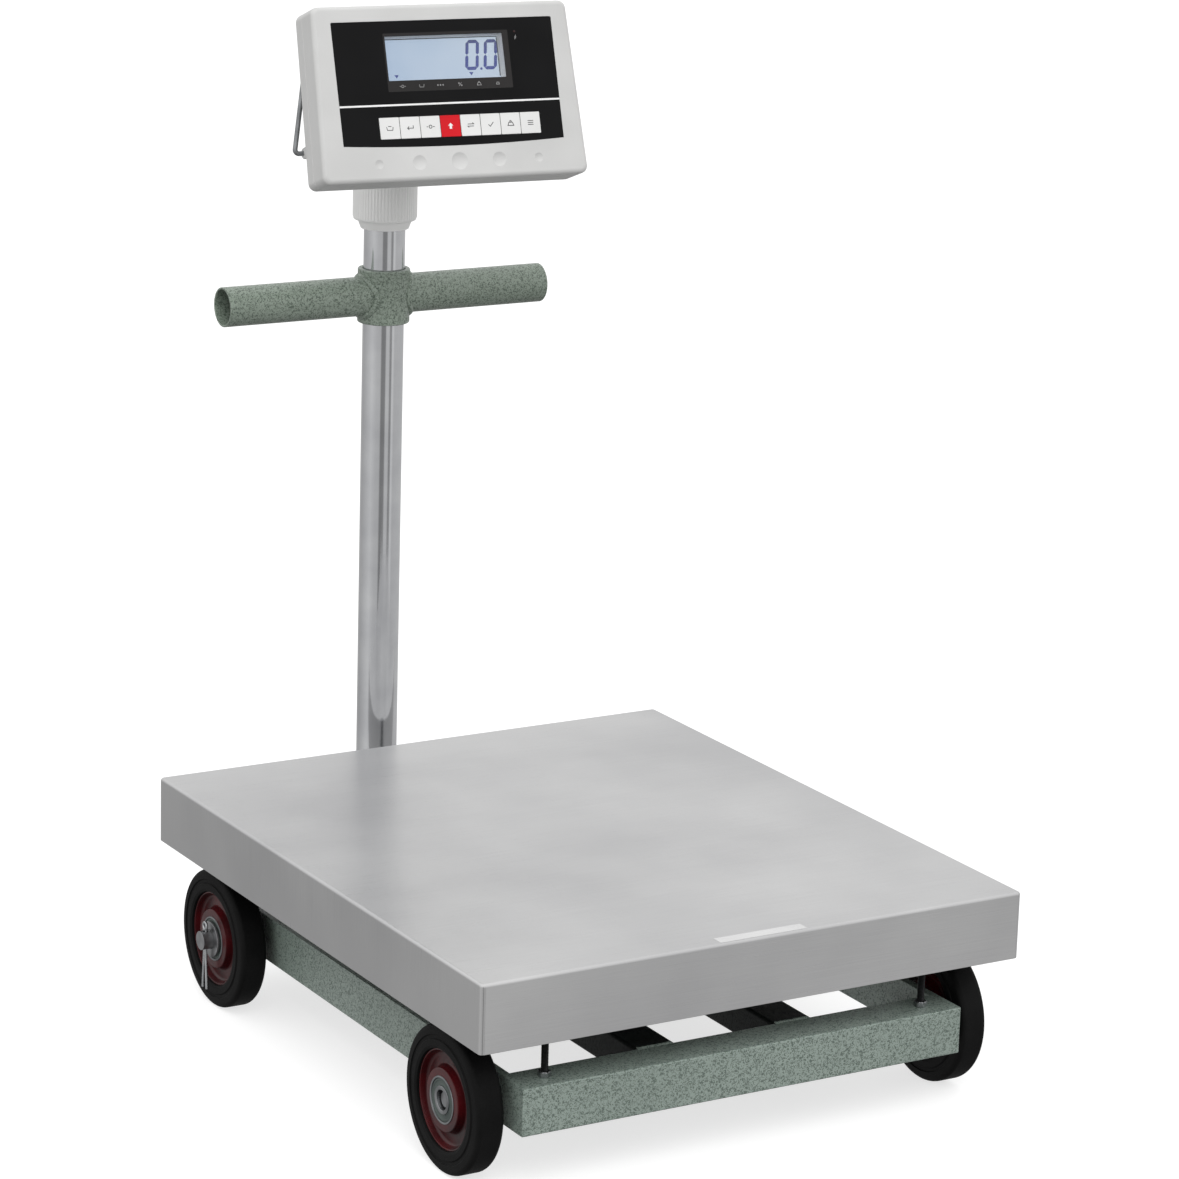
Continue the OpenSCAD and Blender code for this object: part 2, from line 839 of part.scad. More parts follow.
module rear_shell() {
    floor_y = rim_depth - shell_wall;
    step_y = rim_depth - back_step[1];
    boss = [bail_boss_w, 2 * bail_boss_r, 2 * bail_boss_r];
    bail_hole = 2 * (bail_pivot.x - bail_boss_x) + bail_boss_w;
    color(pale_plastic)
        on_head()
            difference() {
                union() {
                    head_prism(0, parting, step_y);
                    head_prism(back_step[0], step_y, rim_depth);
                    translate([-bulge.x / 2, rim_depth - eps, bulge_z - bulge.z / 2])
                        cube([bulge.x, bulge.y + eps, bulge.z]);
                    for (sx = [-1, 1])
                        translate([sx * bail_boss_x, bail_pivot.y, bail_pivot.z]) {
                            along_x() cylinder(h = bail_boss_w, r = bail_boss_r, center = true);
                            slab(boss, [0, -bail_boss_r, -bail_boss_r]);
                        }
                }
                head_prism(shell_wall, parting - eps, floor_y);
                translate([-bulge.x / 2 + shell_wall, floor_y - eps, bulge_z - bulge.z / 2 + shell_wall])
                    cube([bulge.x - 2 * shell_wall, bulge.y + eps, bulge.z - 2 * shell_wall]);
                at_case_screws() translate([0, parting, 0])
                    along_y() cylinder(h = rim_depth, r = screw_r);
                for (sx = [-1, 1])
                    translate([sx * bail_pivot.x, bail_pivot.y, bail_pivot.z])
                        along_x() cylinder(h = bail_hole, r = bail_r + fit, center = true);
                translate(rocker_at) {
                    cube([rocker_w + 2 * gap, 4 * shell_wall, rocker_slot], center = true);
                    along_x()
                        cylinder(h = rocker_w + 2 * (rocker_pin_len + gap),
                            r = rocker_pin_r + fit, center = true);
                }
                translate([socket_at.x, bulge_back - dc_socket_len, socket_at.z])
                    along_y() cylinder(h = 2 * dc_socket_len, r = dc_socket_r);
            }
}

// printed front sheet
module overlay() {
    color(black)
        on_head()
            difference() {
                overlay_prism(0, 0, overlay_t);
                window_slot(-over, 2 * overlay_t);
                key_slot(-over, 2 * overlay_t);
            }
}

module lcd_window() {
    front_y = overlay_t + window_seat;
    color([0.75, 0.85, 0.95, 0.5])
        on_head() window_slot(front_y, front_y + window_t);
}

module lcd_panel() {
    color([0.62, 0.75, 0.90])
        on_head()
            translate([-panel.x / 2, panel_y, window_z - panel.z / 2]) cube(panel);
}

module circuit_board() {
    color([0.10, 0.35, 0.18])
        on_head()
            translate([-board.x / 2, board_y, -board.z / 2]) cube(board);
}

module battery() {
    color([0.20, 0.22, 0.26])
        on_head()
            translate([-battery_size.x / 2, battery_y, bulge_z - battery_size.z / 2])
                cube(battery_size);
}

module case_screws() {
    color(steel)
        on_head()
            at_case_screws() {
                translate([0, screw_start, 0])
                    along_y() cylinder(h = rim_depth - screw_start, r = screw_r);
                translate([0, rim_depth, 0])
                    along_y() cylinder(h = screw_head_h, r = screw_head_r);
            }
}

// socket for the charger's plug
module power_socket() {
    color(black)
        on_head()
            translate([socket_at.x, bulge_back + dc_socket_proud - dc_socket_len, socket_at.z])
                along_y()
                    difference() {
                        cylinder(h = dc_socket_len, r = dc_socket_r);
                        translate([0, 0, shell_wall])
                            cylinder(h = dc_socket_len, r = dc_socket_r / 2);
                    }
}

// wire stand, folded up against the housing's back
module bail() {
    p = bail_pivot;
    half = [
        [p.x - bail_boss_w, p.y, p.z],
        [p.x + 2 * bail_r, p.y, p.z],
        [p.x - bail_shoulder.x, p.y, p.z + bail_shoulder.y],
        [p.x - bail_top.x, p.y, p.z + bail_top.y]
    ];
    last = len(half) - 1;
    other = [for (i = [last:-1:0]) [-half[i].x, half[i].y, half[i].z]];
    color(steel)
        on_head() wire(concat(half, other), bail_r);
}

// two-position switch on two stub pins, shown pressed in at its lower end
module power_rocker() {
    color(black)
        on_head()
            translate(rocker_at) {
                rotate([90, 0, 90])
                    linear_extrude(height = rocker_w, center = true)
                        polygon([
                            [-rocker_depth, -rocker_half], [rocker_sunk, -rocker_half],
                            [rocker_dip, 0], [rocker_raised, rocker_half],
                            [-rocker_depth, rocker_half]
                        ]);
                along_x()
                    cylinder(h = rocker_w + 2 * rocker_pin_len, r = rocker_pin_r, center = true);
            }
}

module key(i) {
    x = key_row.x + (i - (key_count + 1) / 2) * key_pitch;
    color(i == 4 ? "red" : "white")
        on_head()
            translate([x - key_size.x / 2, -key_proud, key_row.y - key_size.z / 2])
                cube(key_size);
}

// ---------- nodes ----------

beam(front);  // front_beam
beam(rear);  // rear_beam
side_rail(left);  // side_rail_left
side_rail(right);  // side_rail_right
inner_bar(left);  // inner_bar_left
inner_bar(right);  // inner_bar_right
column_bracket();
frame_bolts();
axle(front, axle_front_end);  // axle_front
axle(rear, axle_rear_end);  // axle_rear
axle_retainers();
bearing_inners();
overload_stops();
cell_plate_lower();
load_cell();
column_tube();
handle();
column_ferrule();
tyre(left, front);  // tyre_front_left
tyre(right, front);  // tyre_front_right
tyre(left, rear);  // tyre_rear_left
tyre(right, rear);  // tyre_rear_right
rim(left, front);  // rim_front_left
rim(right, front);  // rim_front_right
rim(left, rear);  // rim_rear_left
rim(right, rear);  // rim_rear_right
bearing(left, front);  // bearing_front_left
bearing(right, front);  // bearing_front_right
bearing(left, rear);  // bearing_rear_left
bearing(right, rear);  // bearing_rear_right
spider_rail(left);  // spider_rail_left
spider_rail(right);  // spider_rail_right
spider_cross();
cell_plate_upper();
deck_bolts();
deck_pads();
deck_cover();
lock_collar();
swivel_head();
tilt_bolt();
front_shell();
rear_shell();
overlay();
lcd_window();
lcd_panel();
circuit_board();
battery();
case_screws();
tilt_lug();
power_socket();
bail();
power_rocker();
key(1);  // key_1
key(2);  // key_2
key(3);  // key_3
key(4);  // key_4
key(5);  // key_5
key(6);  // key_6
key(7);  // key_7
key(8);  // key_8
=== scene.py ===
"""Looks of a mobile platform scale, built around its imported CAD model.

Every piece is modelled in millimetres, either in the row frame or in the
indicator's own frame, where X runs across the face, Y into the housing and Z up
the face. Sizes and places come from the CAD nodes' boxes and the joints.
"""

import json
import math

import bmesh
import bpy
from mathutils import Matrix, Vector, noise


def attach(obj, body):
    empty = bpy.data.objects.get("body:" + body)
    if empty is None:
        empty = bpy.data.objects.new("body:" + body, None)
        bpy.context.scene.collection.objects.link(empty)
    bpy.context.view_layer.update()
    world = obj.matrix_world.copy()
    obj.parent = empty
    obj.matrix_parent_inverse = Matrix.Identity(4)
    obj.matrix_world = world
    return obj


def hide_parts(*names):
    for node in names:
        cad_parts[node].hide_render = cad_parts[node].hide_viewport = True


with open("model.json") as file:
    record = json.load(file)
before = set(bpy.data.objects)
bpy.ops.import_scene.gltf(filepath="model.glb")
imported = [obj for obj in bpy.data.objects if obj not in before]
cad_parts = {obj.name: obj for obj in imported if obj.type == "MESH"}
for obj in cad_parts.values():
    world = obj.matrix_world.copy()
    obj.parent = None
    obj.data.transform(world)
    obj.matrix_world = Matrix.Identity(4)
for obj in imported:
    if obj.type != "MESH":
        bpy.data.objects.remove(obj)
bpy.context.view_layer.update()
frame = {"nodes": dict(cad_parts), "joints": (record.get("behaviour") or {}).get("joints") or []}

MM = 0.001
ROW = Matrix.Scale(MM, 4)
NODES = frame["nodes"]
JOINTS = {joint["name"]: joint for joint in frame["joints"]}
SIDES = {"left": -1, "right": 1}
ENDS = ("front", "rear")
X_AXIS = Vector((1, 0, 0))
Y_AXIS = Vector((0, 1, 0))
Z_AXIS = Vector((0, 0, 1))
SHARP_ANGLE = 35.0
QUARTER = math.pi / 2

# camera
CAMERA_PLACE = (-1.78806, -3.06257, 1.33818)
CAMERA_TURN = (75.1749, -1.6178, -30.3057)
CAMERA_LENS = 129.15
CAMERA_SENSOR = 36.0


def box(node, place=ROW):
    """Lowest and highest corner of a CAD node, in millimetres, along the axes of place."""
    back = place.inverted()
    spots = [back @ vertex.co for vertex in NODES[node].data.vertices]
    lo = Vector([min(spot[i] for spot in spots) for i in range(3)])
    hi = Vector([max(spot[i] for spot in spots) for i in range(3)])
    return lo, hi


def head_place():
    """The indicator's own frame, with its origin in the middle of the face."""
    across = -Vector(JOINTS["head_tilt"]["axis"]).normalized()
    inward = Vector(JOINTS["press_key_1"]["axis"]).normalized()
    up = across.cross(inward)
    turn = Matrix((across, inward, up)).transposed().to_4x4() @ ROW
    lo, hi = box("front_shell", turn)
    middle = turn @ Vector(((lo.x + hi.x) / 2, lo.y, (lo.z + hi.z) / 2))
    return Matrix.Translation(middle) @ turn


HEAD = head_place()


def joint_spot(name, place=ROW):
    """A joint's position in millimetres, along the axes of place."""
    return place.inverted() @ Vector(JOINTS[name]["pos_m"])


def upright(node):
    """Axis, radius, bottom and top of a round node that stands upright."""
    lo, hi = box(node)
    return Vector(((lo.x + hi.x) / 2, (lo.y + hi.y) / 2, 0)), (hi.x - lo.x) / 2, lo.z, hi.z


# ---------- outlines ----------


def fillet(points, radius, steps=6, closed=True):
    """The same outline, or 3-D path, with its corners rounded. radius is one value or one a corner."""
    corners = [Vector(p) for p in points]
    count = len(corners)
    radii = radius if isinstance(radius, (list, tuple)) else [radius] * count
    out = []
    for i, here in enumerate(corners):
        if radii[i] <= 0 or not closed and i in (0, count - 1):
            out.append(here)
            continue
        before = corners[i - 1] - here
        after = corners[(i + 1) % count] - here
        half = before.angle(after) / 2
        reach = min(radii[i] / math.tan(half), 0.49 * before.length, 0.49 * after.length)
        bend = reach * math.tan(half)
        start = here + before.normalized() * reach
        middle = before.normalized() + after.normalized()
        centre = here + middle.normalized() * (bend / math.sin(half))
        first = start - centre
        last = here + after.normalized() * reach - centre
        arc = math.pi - 2 * half
        for k in range(steps + 1):
            t = k / steps
            a = math.sin((1 - t) * arc) / math.sin(arc)
            b = math.sin(t * arc) / math.sin(arc)
            out.append(centre + first * a + last * b)
    return out


def rounded_rect(x0, x1, y0, y1, radius, steps=6):
    """Flat outline of a rectangle with rounded corners."""
    return fillet([(x1, y1), (x0, y1), (x0, y0), (x1, y0)], radius, steps)


def edge_arc(radius, steps=4):
    """(inset, drop) of each step of a rounded edge, from the flat face to the side."""
    return [
        (radius * (1 - math.sin(QUARTER * k / steps)), radius * (1 - math.cos(QUARTER * k / steps)))
        for k in range(steps + 1)
    ]


def disc(x, z, radius, steps=24):
    """Round outline in the X-Z plane."""
    turns = [2 * math.pi * k / steps for k in range(steps)]
    return [(x + radius * math.cos(t), z + radius * math.sin(t)) for t in turns]


def both_sides(half, steps):
    """Closed profile from the (radius, height, rounding) corners of its upper half."""
    corners = half + [(r, -h, rounding) for r, h, rounding in half[::-1]]
    return fillet([corner[:2] for corner in corners], [corner[2] for corner in corners], steps)


def ring_profile(r_in, r_out, h0, h1, edge=0.3):
    """Profile of a flat ring with rounded edges."""
    return fillet([(r_out, h1), (r_in, h1), (r_in, h0), (r_out, h0)], edge, 3)


# ---------- solids, as (vertices, faces) ----------


def merge(*parts):
    """Several parts as one."""
    verts, faces = [], []
    for part_verts, part_faces in parts:
        start = len(verts)
        verts += part_verts
        faces += [[i + start for i in face] for face in part_faces]
    return verts, faces


def skin(rings, loop=False):
    """The surface between successive closed rings of points, capped unless it loops."""
    size = len(rings[0])
    verts = [Vector(point) for ring in rings for point in ring]
    faces = []
    for r in range(len(rings) if loop else len(rings) - 1):
        here = r * size
        there = (r + 1) % len(rings) * size
        for i in range(size):
            j = (i + 1) % size
            faces.append([here + i, here + j, there + j, there + i])
    if not loop:
        faces.append(list(range(size))[::-1])
        faces.append(list(range(len(verts) - size, len(verts))))
    return verts, faces


def revolve(profile, centre, axis, segments=96):
    """A closed profile of (radius, height) points, turned about an axis."""
    along = Vector(axis).normalized()
    side = along.orthogonal().normalized()
    other = along.cross(side)
    rings = []
    for x, y in disc(0, 0, 1, segments):
        out = side * x + other * y
        rings.append([Vector(centre) + out * p[0] + along * p[1] for p in profile])
    return skin(rings, loop=True)


def shrink(point, middle, inset):
    """A point of an outline, drawn in towards its middle by about inset each way."""
    x = point[0] - math.copysign(min(inset, abs(point[0] - middle.x)), point[0] - middle.x)
    z = point[1] - math.copysign(min(inset, abs(point[1] - middle.y)), point[1] - middle.y)
    return x, z


def at_depth(points, y):
    """The points of an X-Z outline, in space at depth y."""
    return [Vector((p[0], y, p[1])) for p in points]


def prism(outline, y0, y1, edge=0.0):
    """Plate that fills an X-Z outline from depth y0 to y1, with its front edge rounded."""
    middle = sum((Vector(p) for p in outline), Vector((0, 0))) / len(outline)
    arc = edge_arc(edge, 3) if edge > 0 else [(0.0, 0.0)]
    rings = [at_depth([shrink(p, middle, inset) for p in outline], y0 + drop) for inset, drop in arc]
    return skin(rings + [at_depth(outline, y1)])


def neighbours(points, i, closed):
    """The points before and after one of a path's, or the point itself at an open end."""
    count = len(points)
    last = points[i - 1] if closed or i > 0 else points[i]
    following = points[(i + 1) % count] if closed or i < count - 1 else points[i]
    return last, following


def sweep(path, radius, sides=16, closed=False):
    """Round bar along a path. radius is one value or a function of the point's number."""
    points = [Vector(p) for p in path]
    before = None
    rings = []
    for i, here in enumerate(points):
        last, following = neighbours(points, i, closed)
        along = (following - last).normalized()
        if before is None:
            across = along.orthogonal().normalized()
        else:
            across = before.rotation_difference(along) @ across
            across = (across - along * across.dot(along)).normalized()
        before = along
        other = along.cross(across)
        size = radius(i) if callable(radius) else radius
        rings.append([here + (across * x + other * y) * size for x, y in disc(0, 0, 1, sides)])
    return skin(rings, loop=closed)


def spaced(path, step, closed=False):
    """The same path with its points step apart."""
    points = [Vector(p) for p in path]
    if closed:
        points.append(points[0])
    out = [points[0]]
    left = step
    for a, b in zip(points, points[1:]):
        length = (b - a).length
        while left <= length:
            out.append(a.lerp(b, left / length))
            left += step
        left -= length
    return out


# a weld bead's ripples, as shares of its width, and how it wanders along its path
WELD_STEP = 0.45
RIPPLE = 0.10
RIPPLE_POINTS = 3
UNEVEN = 0.16
UNEVEN_SCALE = 0.21


def weld(path, size, closed=False):
    """Weld bead: a rounded seam with the fine ripples that the torch leaves."""
    points = spaced(path, WELD_STEP * size, closed)

    def swell(i):
        wave = RIPPLE * math.cos(i * 2 * math.pi / RIPPLE_POINTS)
        return 0.5 * size * (1 + wave + UNEVEN * noise.noise(points[i] * UNEVEN_SCALE))

    return sweep(points, swell, 10, closed)


def upright_weld(x, y, z0, z1, size):
    """Straight weld bead up an edge."""
    return weld([(x, y, z0), (x, y, z1)], size)


def section(lo, hi, axis, end, radius, inset=0.0):
    """Outline across an axis at one end, with rounded corners, drawn in by inset."""
    a, b = [i for i in range(3) if i != axis]
    ring = []
    for p in rounded_rect(lo[a] + inset, hi[a] - inset, lo[b] + inset, hi[b] - inset, radius, 4):
        spot = [end] * 3
        spot[a], spot[b] = p
        ring.append(spot)
    return ring


def bar(lo, hi, axis, radius):
    """Solid bar between two corners with its four long edges rounded."""
    return skin([section(lo, hi, axis, end, radius) for end in (lo[axis], hi[axis])])


def box_tube(lo, hi, axis, wall, radius):
    """Box tube between two corners, open at both ends."""
    rings = []
    for inset, end in ((0, lo[axis]), (0, hi[axis]), (wall, hi[axis]), (wall, lo[axis])):
        rings.append(section(lo, hi, axis, end, radius - 0.6 * inset, inset))
    return skin(rings, loop=True)


def ribbon(points, width, y0, y1, closed=False):
    """Flat printed line with mitred corners, in the X-Z plane."""
    spots = [Vector(p) for p in points]
    rings = []
    for i, here in enumerate(spots):
        last, following = neighbours(spots, i, closed)
        d0 = (here - last if here != last else following - here).normalized()
        d1 = (following - here).normalized() if following != here else d0
        side = Vector((-(d0.y + d1.y), d0.x + d1.x)).normalized()
        reach = 0.5 * width / max(0.4, side.dot(Vector((-d0.y, d0.x))))
        a = here + side * reach
        b = here - side * reach
        rings.append([(p[0], y, p[1]) for p, y in ((a, y0), (b, y0), (b, y1), (a, y1))])
    return skin(rings, loop=closed)


def dome(x, z, y, radius, height, segments=32, steps=5):
    """Low round lens standing out of a face at depth y."""
    profile = [(0.0, 0.3)]
    for k in range(steps + 1):
        turn = QUARTER * k / steps
        profile.append((radius * math.cos(turn), -height * math.sin(turn)))
    profile.insert(1, (radius, 0.3))
    return revolve(profile, (x, y, z), Y_AXIS, segments)


def around(x, y, z, radii):
    """Level ring of points about an upright axis, one for each radius."""
    return [(x + r * a, y + r * b, z) for r, (a, b) in zip(radii, disc(0, 0, 1, len(radii)))]


# ---------- mesh work ----------

# points nearer than this, and edges shorter than this, are one point, in millimetres
SAME_POINT = 1e-4
NO_LENGTH = 1e-6


def tidy(mesh, crease=SHARP_ANGLE):
    """Welds a mesh, turns its faces outward and marks its sharp edges."""
    bm = bmesh.new()
    bm.from_mesh(mesh)
    bmesh.ops.remove_doubles(bm, verts=bm.verts, dist=SAME_POINT)
    bmesh.ops.dissolve_degenerate(bm, edges=bm.edges, dist=NO_LENGTH)
    bmesh.ops.recalc_face_normals(bm, faces=bm.faces)
    for face in bm.faces:
        face.smooth = True
    for edge in bm.edges:
        edge.smooth = edge.is_manifold and edge.calc_face_angle() < math.radians(crease)
    bm.to_mesh(mesh)
    bm.free()


def mesh_of(name, part):
    """A mesh with the vertices and faces of a part, or of a list of parts."""
    verts, faces = merge(*part) if isinstance(part, list) else part
    mesh = bpy.data.meshes.new(name)
    mesh.from_pydata([tuple(v) for v in verts], [], faces)
    return mesh


def in_scene(name, data):
    """A new object in the scene."""
    obj = bpy.data.objects.new(name, data)
    bpy.context.scene.collection.objects.link(obj)
    return obj


def temporary(part):
    """A throw-away object for a modifier to work on."""
    mesh = mesh_of("work", part)
    tidy(mesh)
    return in_scene("work", mesh)


def result(obj):
    """An object's mesh with its modifiers applied, as a part; the object is removed."""
    graph = bpy.context.evaluated_depsgraph_get()
    mesh = obj.evaluated_get(graph).to_mesh()
    part = [v.co.copy() for v in mesh.vertices], [list(p.vertices) for p in mesh.polygons]
    obj.evaluated_get(graph).to_mesh_clear()
    bpy.data.objects.remove(obj)
    return part


def carved(part, cuts=(), adds=()):
    """A part with others joined to it and then cut from it."""
    obj = temporary(part)
    helpers = []
    for operation, others in (("UNION", adds), ("DIFFERENCE", cuts)):
        for other in others:
            helper = temporary(other)
            helpers.append(helper)
            step = obj.modifiers.new("carve", "BOOLEAN")
            step.operation = operation
            step.solver = "EXACT"
            step.object = helper
    made = result(obj)
    for helper in helpers:
        bpy.data.objects.remove(helper)
    return made


def round_edges(obj, width, segments, angle):
    """Rounds the edges that are sharper than an angle, with a modifier."""
    step = obj.modifiers.new("edges", "BEVEL")
    step.width = width
    step.segments = segments
    step.limit_method = "ANGLE"
    step.angle_limit = math.radians(angle)


def piece(name, part, slot, body, nodes=(), place=ROW, finish=None, crease=SHARP_ANGLE):
    """A finished piece that rides on a body and may stand for CAD nodes."""
    mesh = mesh_of(name, part)
    tidy(mesh, crease)
    mesh.transform(place)
    mesh.materials.append(look(finish or slot))
    obj = in_scene(name, mesh)
    obj.modifiers.new("normals", "WEIGHTED_NORMAL").keep_sharp = True
    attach(obj, body)
    if nodes:
        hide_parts(*nodes)


def dress(node, slot, bevel=0.6, segments=2, finish=None):
    """A CAD node that keeps its shape: rounded edges and a procedural material."""
    obj = NODES[node]
    for holder in obj.material_slots:
        holder.material = look(finish or slot)
    obj.modifiers.new("weld", "WELD").merge_threshold = 1e-5
    round_edges(obj, bevel * MM, segments, SHARP_ANGLE)
    obj.modifiers.new("normals", "WEIGHTED_NORMAL").keep_sharp = True


# ---------- materials ----------


def srgb(red, green, blue):
    """Linear colour from display values of 0 to 255."""
    out = []
    for value in (red, green, blue):
        share = value / 255
        out.append(share / 12.92 if share <= 0.04045 else ((share + 0.055) / 1.055) ** 2.4)
    return (*out, 1.0)


class Graph:
    """Adds nodes to a node tree. Each method returns the new node's output."""

    def __init__(self, tree):
        self.nodes = tree.nodes
        self.links = tree.links

    def put(self, socket, value):
        """Links an output to a socket, or sets the socket's constant."""
        if isinstance(value, bpy.types.NodeSocket):
            self.links.new(value, socket)
        else:
            socket.default_value = value

    def add(self, kind, *values, **settings):
        """A new node, with values in its first sockets and its settings made."""
        node = self.nodes.new("ShaderNode" + kind)
        for key, value in settings.items():
            setattr(node, key, value)
        for socket, value in zip(node.inputs, values):
            self.put(socket, value)
        return node

    def math(self, operation, *values):
        """Result of a sum on one or more values."""
        return self.add("Math", *values, operation=operation).outputs[0]

    def span(self, value, low, high, to_low=0.0, to_high=1.0):
        """value, stretched from low..high to to_low..to_high and held there."""
        return self.add("MapRange", value, low, high, to_low, to_high).outputs[0]

    def blend(self, factor, a, b, how="MIX"):
        """Colour a where factor is 0, b where it is 1, or their product."""
        node = self.add("Mix", factor, data_type="RGBA", blend_type=how)
        self.put(node.inputs[6], a)
        self.put(node.inputs[7], b)
        return node.outputs[2]

    def ramp(self, value, stops):
        """Grey level from a value of 0 to 1, along a list of (place, level) stops."""
        node = self.add("ValToRGB", value)
        elements = node.color_ramp.elements
        elements[0].position = stops[0][0]
        elements[1].position = stops[-1][0]
        for place, _ in stops[1:-1]:
            elements.new(place)
        for element, (_, level) in zip(elements, stops):
            element.color = (level, level, level, 1.0)
        return node.outputs[0]


class Finish(Graph):
    """A material's node graph, on object coordinates in metres."""

    def __init__(self, name):
        self.material = bpy.data.materials.new(name)
        self.material.use_nodes = True
        super().__init__(self.material.node_tree)
        self.shader = self.nodes["Principled BSDF"]
        self.place = self.add("TexCoord").outputs["Object"]

    def shade(self, **values):
        """Sets the shader's sockets; an underscore stands for a space."""
        for key, value in values.items():
            self.put(self.shader.inputs[key.replace("_", " ")], value)

    def vector(self, operation, a, b):
        """Result of a sum on two vectors."""
        node = self.add("VectorMath", a, b, operation=operation)
        return node.outputs["Value" if operation == "DOT_PRODUCT" else "Vector"]

    def noise(self, scale, detail=2.0, roughness=0.5, distortion=0.0, place=None):
        """Smooth noise of 0 to 1, with scale waves in a metre."""
        node = self.add("TexNoise", place or self.place)
        node.inputs["Scale"].default_value = scale
        node.inputs["Detail"].default_value = detail
        node.inputs["Roughness"].default_value = roughness
        node.inputs["Distortion"].default_value = distortion
        return node.outputs[0]

    def cells(self, scale):
        """Distance from the middles of random cells."""
        node = self.add("TexVoronoi", self.place)
        node.inputs["Scale"].default_value = scale
        return node.outputs["Distance"]

    def bump(self, height, distance, normal=None):
        """Normal of a surface raised by height times distance, in metres."""
        node = self.add("Bump")
        self.put(node.inputs["Height"], height)
        node.inputs["Distance"].default_value = distance
        node.inputs["Strength"].default_value = 1.0
        if normal is not None:
            self.put(node.inputs["Normal"], normal)
        return node.outputs["Normal"]

    def normal(self):
        """The surface's own normal."""
        return self.add("NewGeometry").outputs["Normal"]

    def worn(self, radius, low=0.02, high=0.25):
        """How exposed a point is: 1 on an outer edge of about that radius, 0 on flat faces."""
        node = self.add("Bevel", radius, samples=4)
        turned = self.vector("DOT_PRODUCT", node.outputs["Normal"], self.normal())
        return self.span(self.math("SUBTRACT", 1.0, turned), low, high)


def hammered(f, light, mid, dark, gloss=1.0):
    """Hammered enamel: a cloudy ground with short dark worm-like veins."""
    veins = f.span(f.noise(620.0, 0.4, 0.5, 1.3), 0.40, 0.50)
    ground = f.blend(f.span(f.noise(11.0, 3.0), 0.3, 0.7), mid, light)
    f.shade(
        Base_Color=f.blend(veins, dark, ground),
        Roughness=f.span(veins, 0.0, 1.0, 0.46, 0.34),
        Normal=f.bump(veins, 0.00010),
        Specular_IOR_Level=0.5 * gloss,
        Coat_Weight=0.15 * gloss,
        Coat_Roughness=0.25,
    )


def plated(f, light, dark, rough, fine=1800.0):
    """Plated or turned steel with fine tool marks and faint dulling."""
    marks = f.noise(fine, 2.0, 0.6)
    f.shade(
        Base_Color=f.blend(f.span(f.noise(60.0, 3.0), 0.35, 0.7), light, dark),
        Metallic=1.0,
        Roughness=f.span(marks, 0.3, 0.7, rough - 0.06, rough + 0.08),
        Normal=f.bump(marks, 0.00001),
    )


def blackened(f, black, rubbed):
    """Blackened steel, rubbed a little on its crests."""
    grime = f.noise(350.0, 3.0)
    f.shade(
        Base_Color=f.blend(f.math("MULTIPLY", f.worn(0.0003), 0.5), black, rubbed),
        Metallic=0.6,
        Roughness=f.span(grime, 0.3, 0.7, 0.36, 0.52),
        Normal=f.bump(grime, 0.00002),
    )


def chrome(f, light, dark):
    """Polished tube with faint drawing lines along it."""
    lines = f.noise(1.0, 2.0, place=f.vector("MULTIPLY", f.place, (1500.0, 1500.0, 6.0)))
    f.shade(
        Base_Color=f.blend(f.span(f.noise(30.0, 3.0), 0.3, 0.7), light, dark),
        Metallic=1.0,
        Roughness=f.span(lines, 0.3, 0.7, 0.07, 0.15),
        Normal=f.bump(lines, 0.000003),
    )


# waves in a metre of the brushed grain
GRAIN_ALONG = 14.0
GRAIN_ACROSS = 2600.0


def brushed(f, light, dark):
    """Brushed sheet: the grain runs across the top and the front, and up the side skirts."""
    normal = f.normal()
    facing = f.vector("DOT_PRODUCT", normal, (1.0, 0.0, 0.0))
    on_side = f.math("GREATER_THAN", f.math("ABSOLUTE", facing), 0.7)
    grain_x = f.vector("MULTIPLY", f.place, (GRAIN_ALONG, GRAIN_ACROSS, GRAIN_ACROSS))
    grain_z = f.vector("MULTIPLY", f.place, (GRAIN_ACROSS, GRAIN_ACROSS, GRAIN_ALONG))
    fine = f.noise(1.0, 3.0, 0.65, place=f.blend(on_side, grain_x, grain_z))
    along = f.blend(on_side, (1.0, 0.0, 0.0, 1.0), (0.0, 0.0, 1.0, 1.0))
    sheen = f.math("ADD", f.math("MULTIPLY", fine, 0.35), f.math("MULTIPLY", f.noise(5.0, 3.0), 0.65))
    f.shade(
        Base_Color=f.blend(f.span(sheen, 0.35, 0.65), dark, light),
        Metallic=1.0,
        Roughness=f.span(fine, 0.25, 0.75, 0.26, 0.36),
        Anisotropic=0.75,
        Tangent=f.vector("CROSS_PRODUCT", along, normal),
        Normal=f.bump(fine, 0.000008, f.bump(f.noise(2.2, 1.0), 0.0005)),
    )


def rubber(f, light, dark, rough, specular=0.25):
    """Moulded rubber with a dusty, slightly pitted skin."""
    pits = f.noise(900.0, 2.0)
    f.shade(
        Base_Color=f.blend(f.span(f.noise(22.0, 4.0, 0.6), 0.35, 0.7), dark, light),
        Roughness=f.span(pits, 0.3, 0.7, rough - 0.08, rough + 0.08),
        Specular_IOR_Level=specular,
        Normal=f.bump(pits, 0.00004),
    )


def enamel(f, light, dark):
    """Gloss enamel with orange peel and cloudy depth."""
    peel = f.noise(260.0, 2.0)
    f.shade(
        Base_Color=f.blend(f.span(f.noise(35.0, 3.0), 0.3, 0.75), light, dark),
        Roughness=f.span(peel, 0.3, 0.7, 0.30, 0.40),
        Specular_IOR_Level=0.3,
        Coat_Weight=0.2,
        Coat_Roughness=0.18,
        Normal=f.bump(peel, 0.00003),
    )


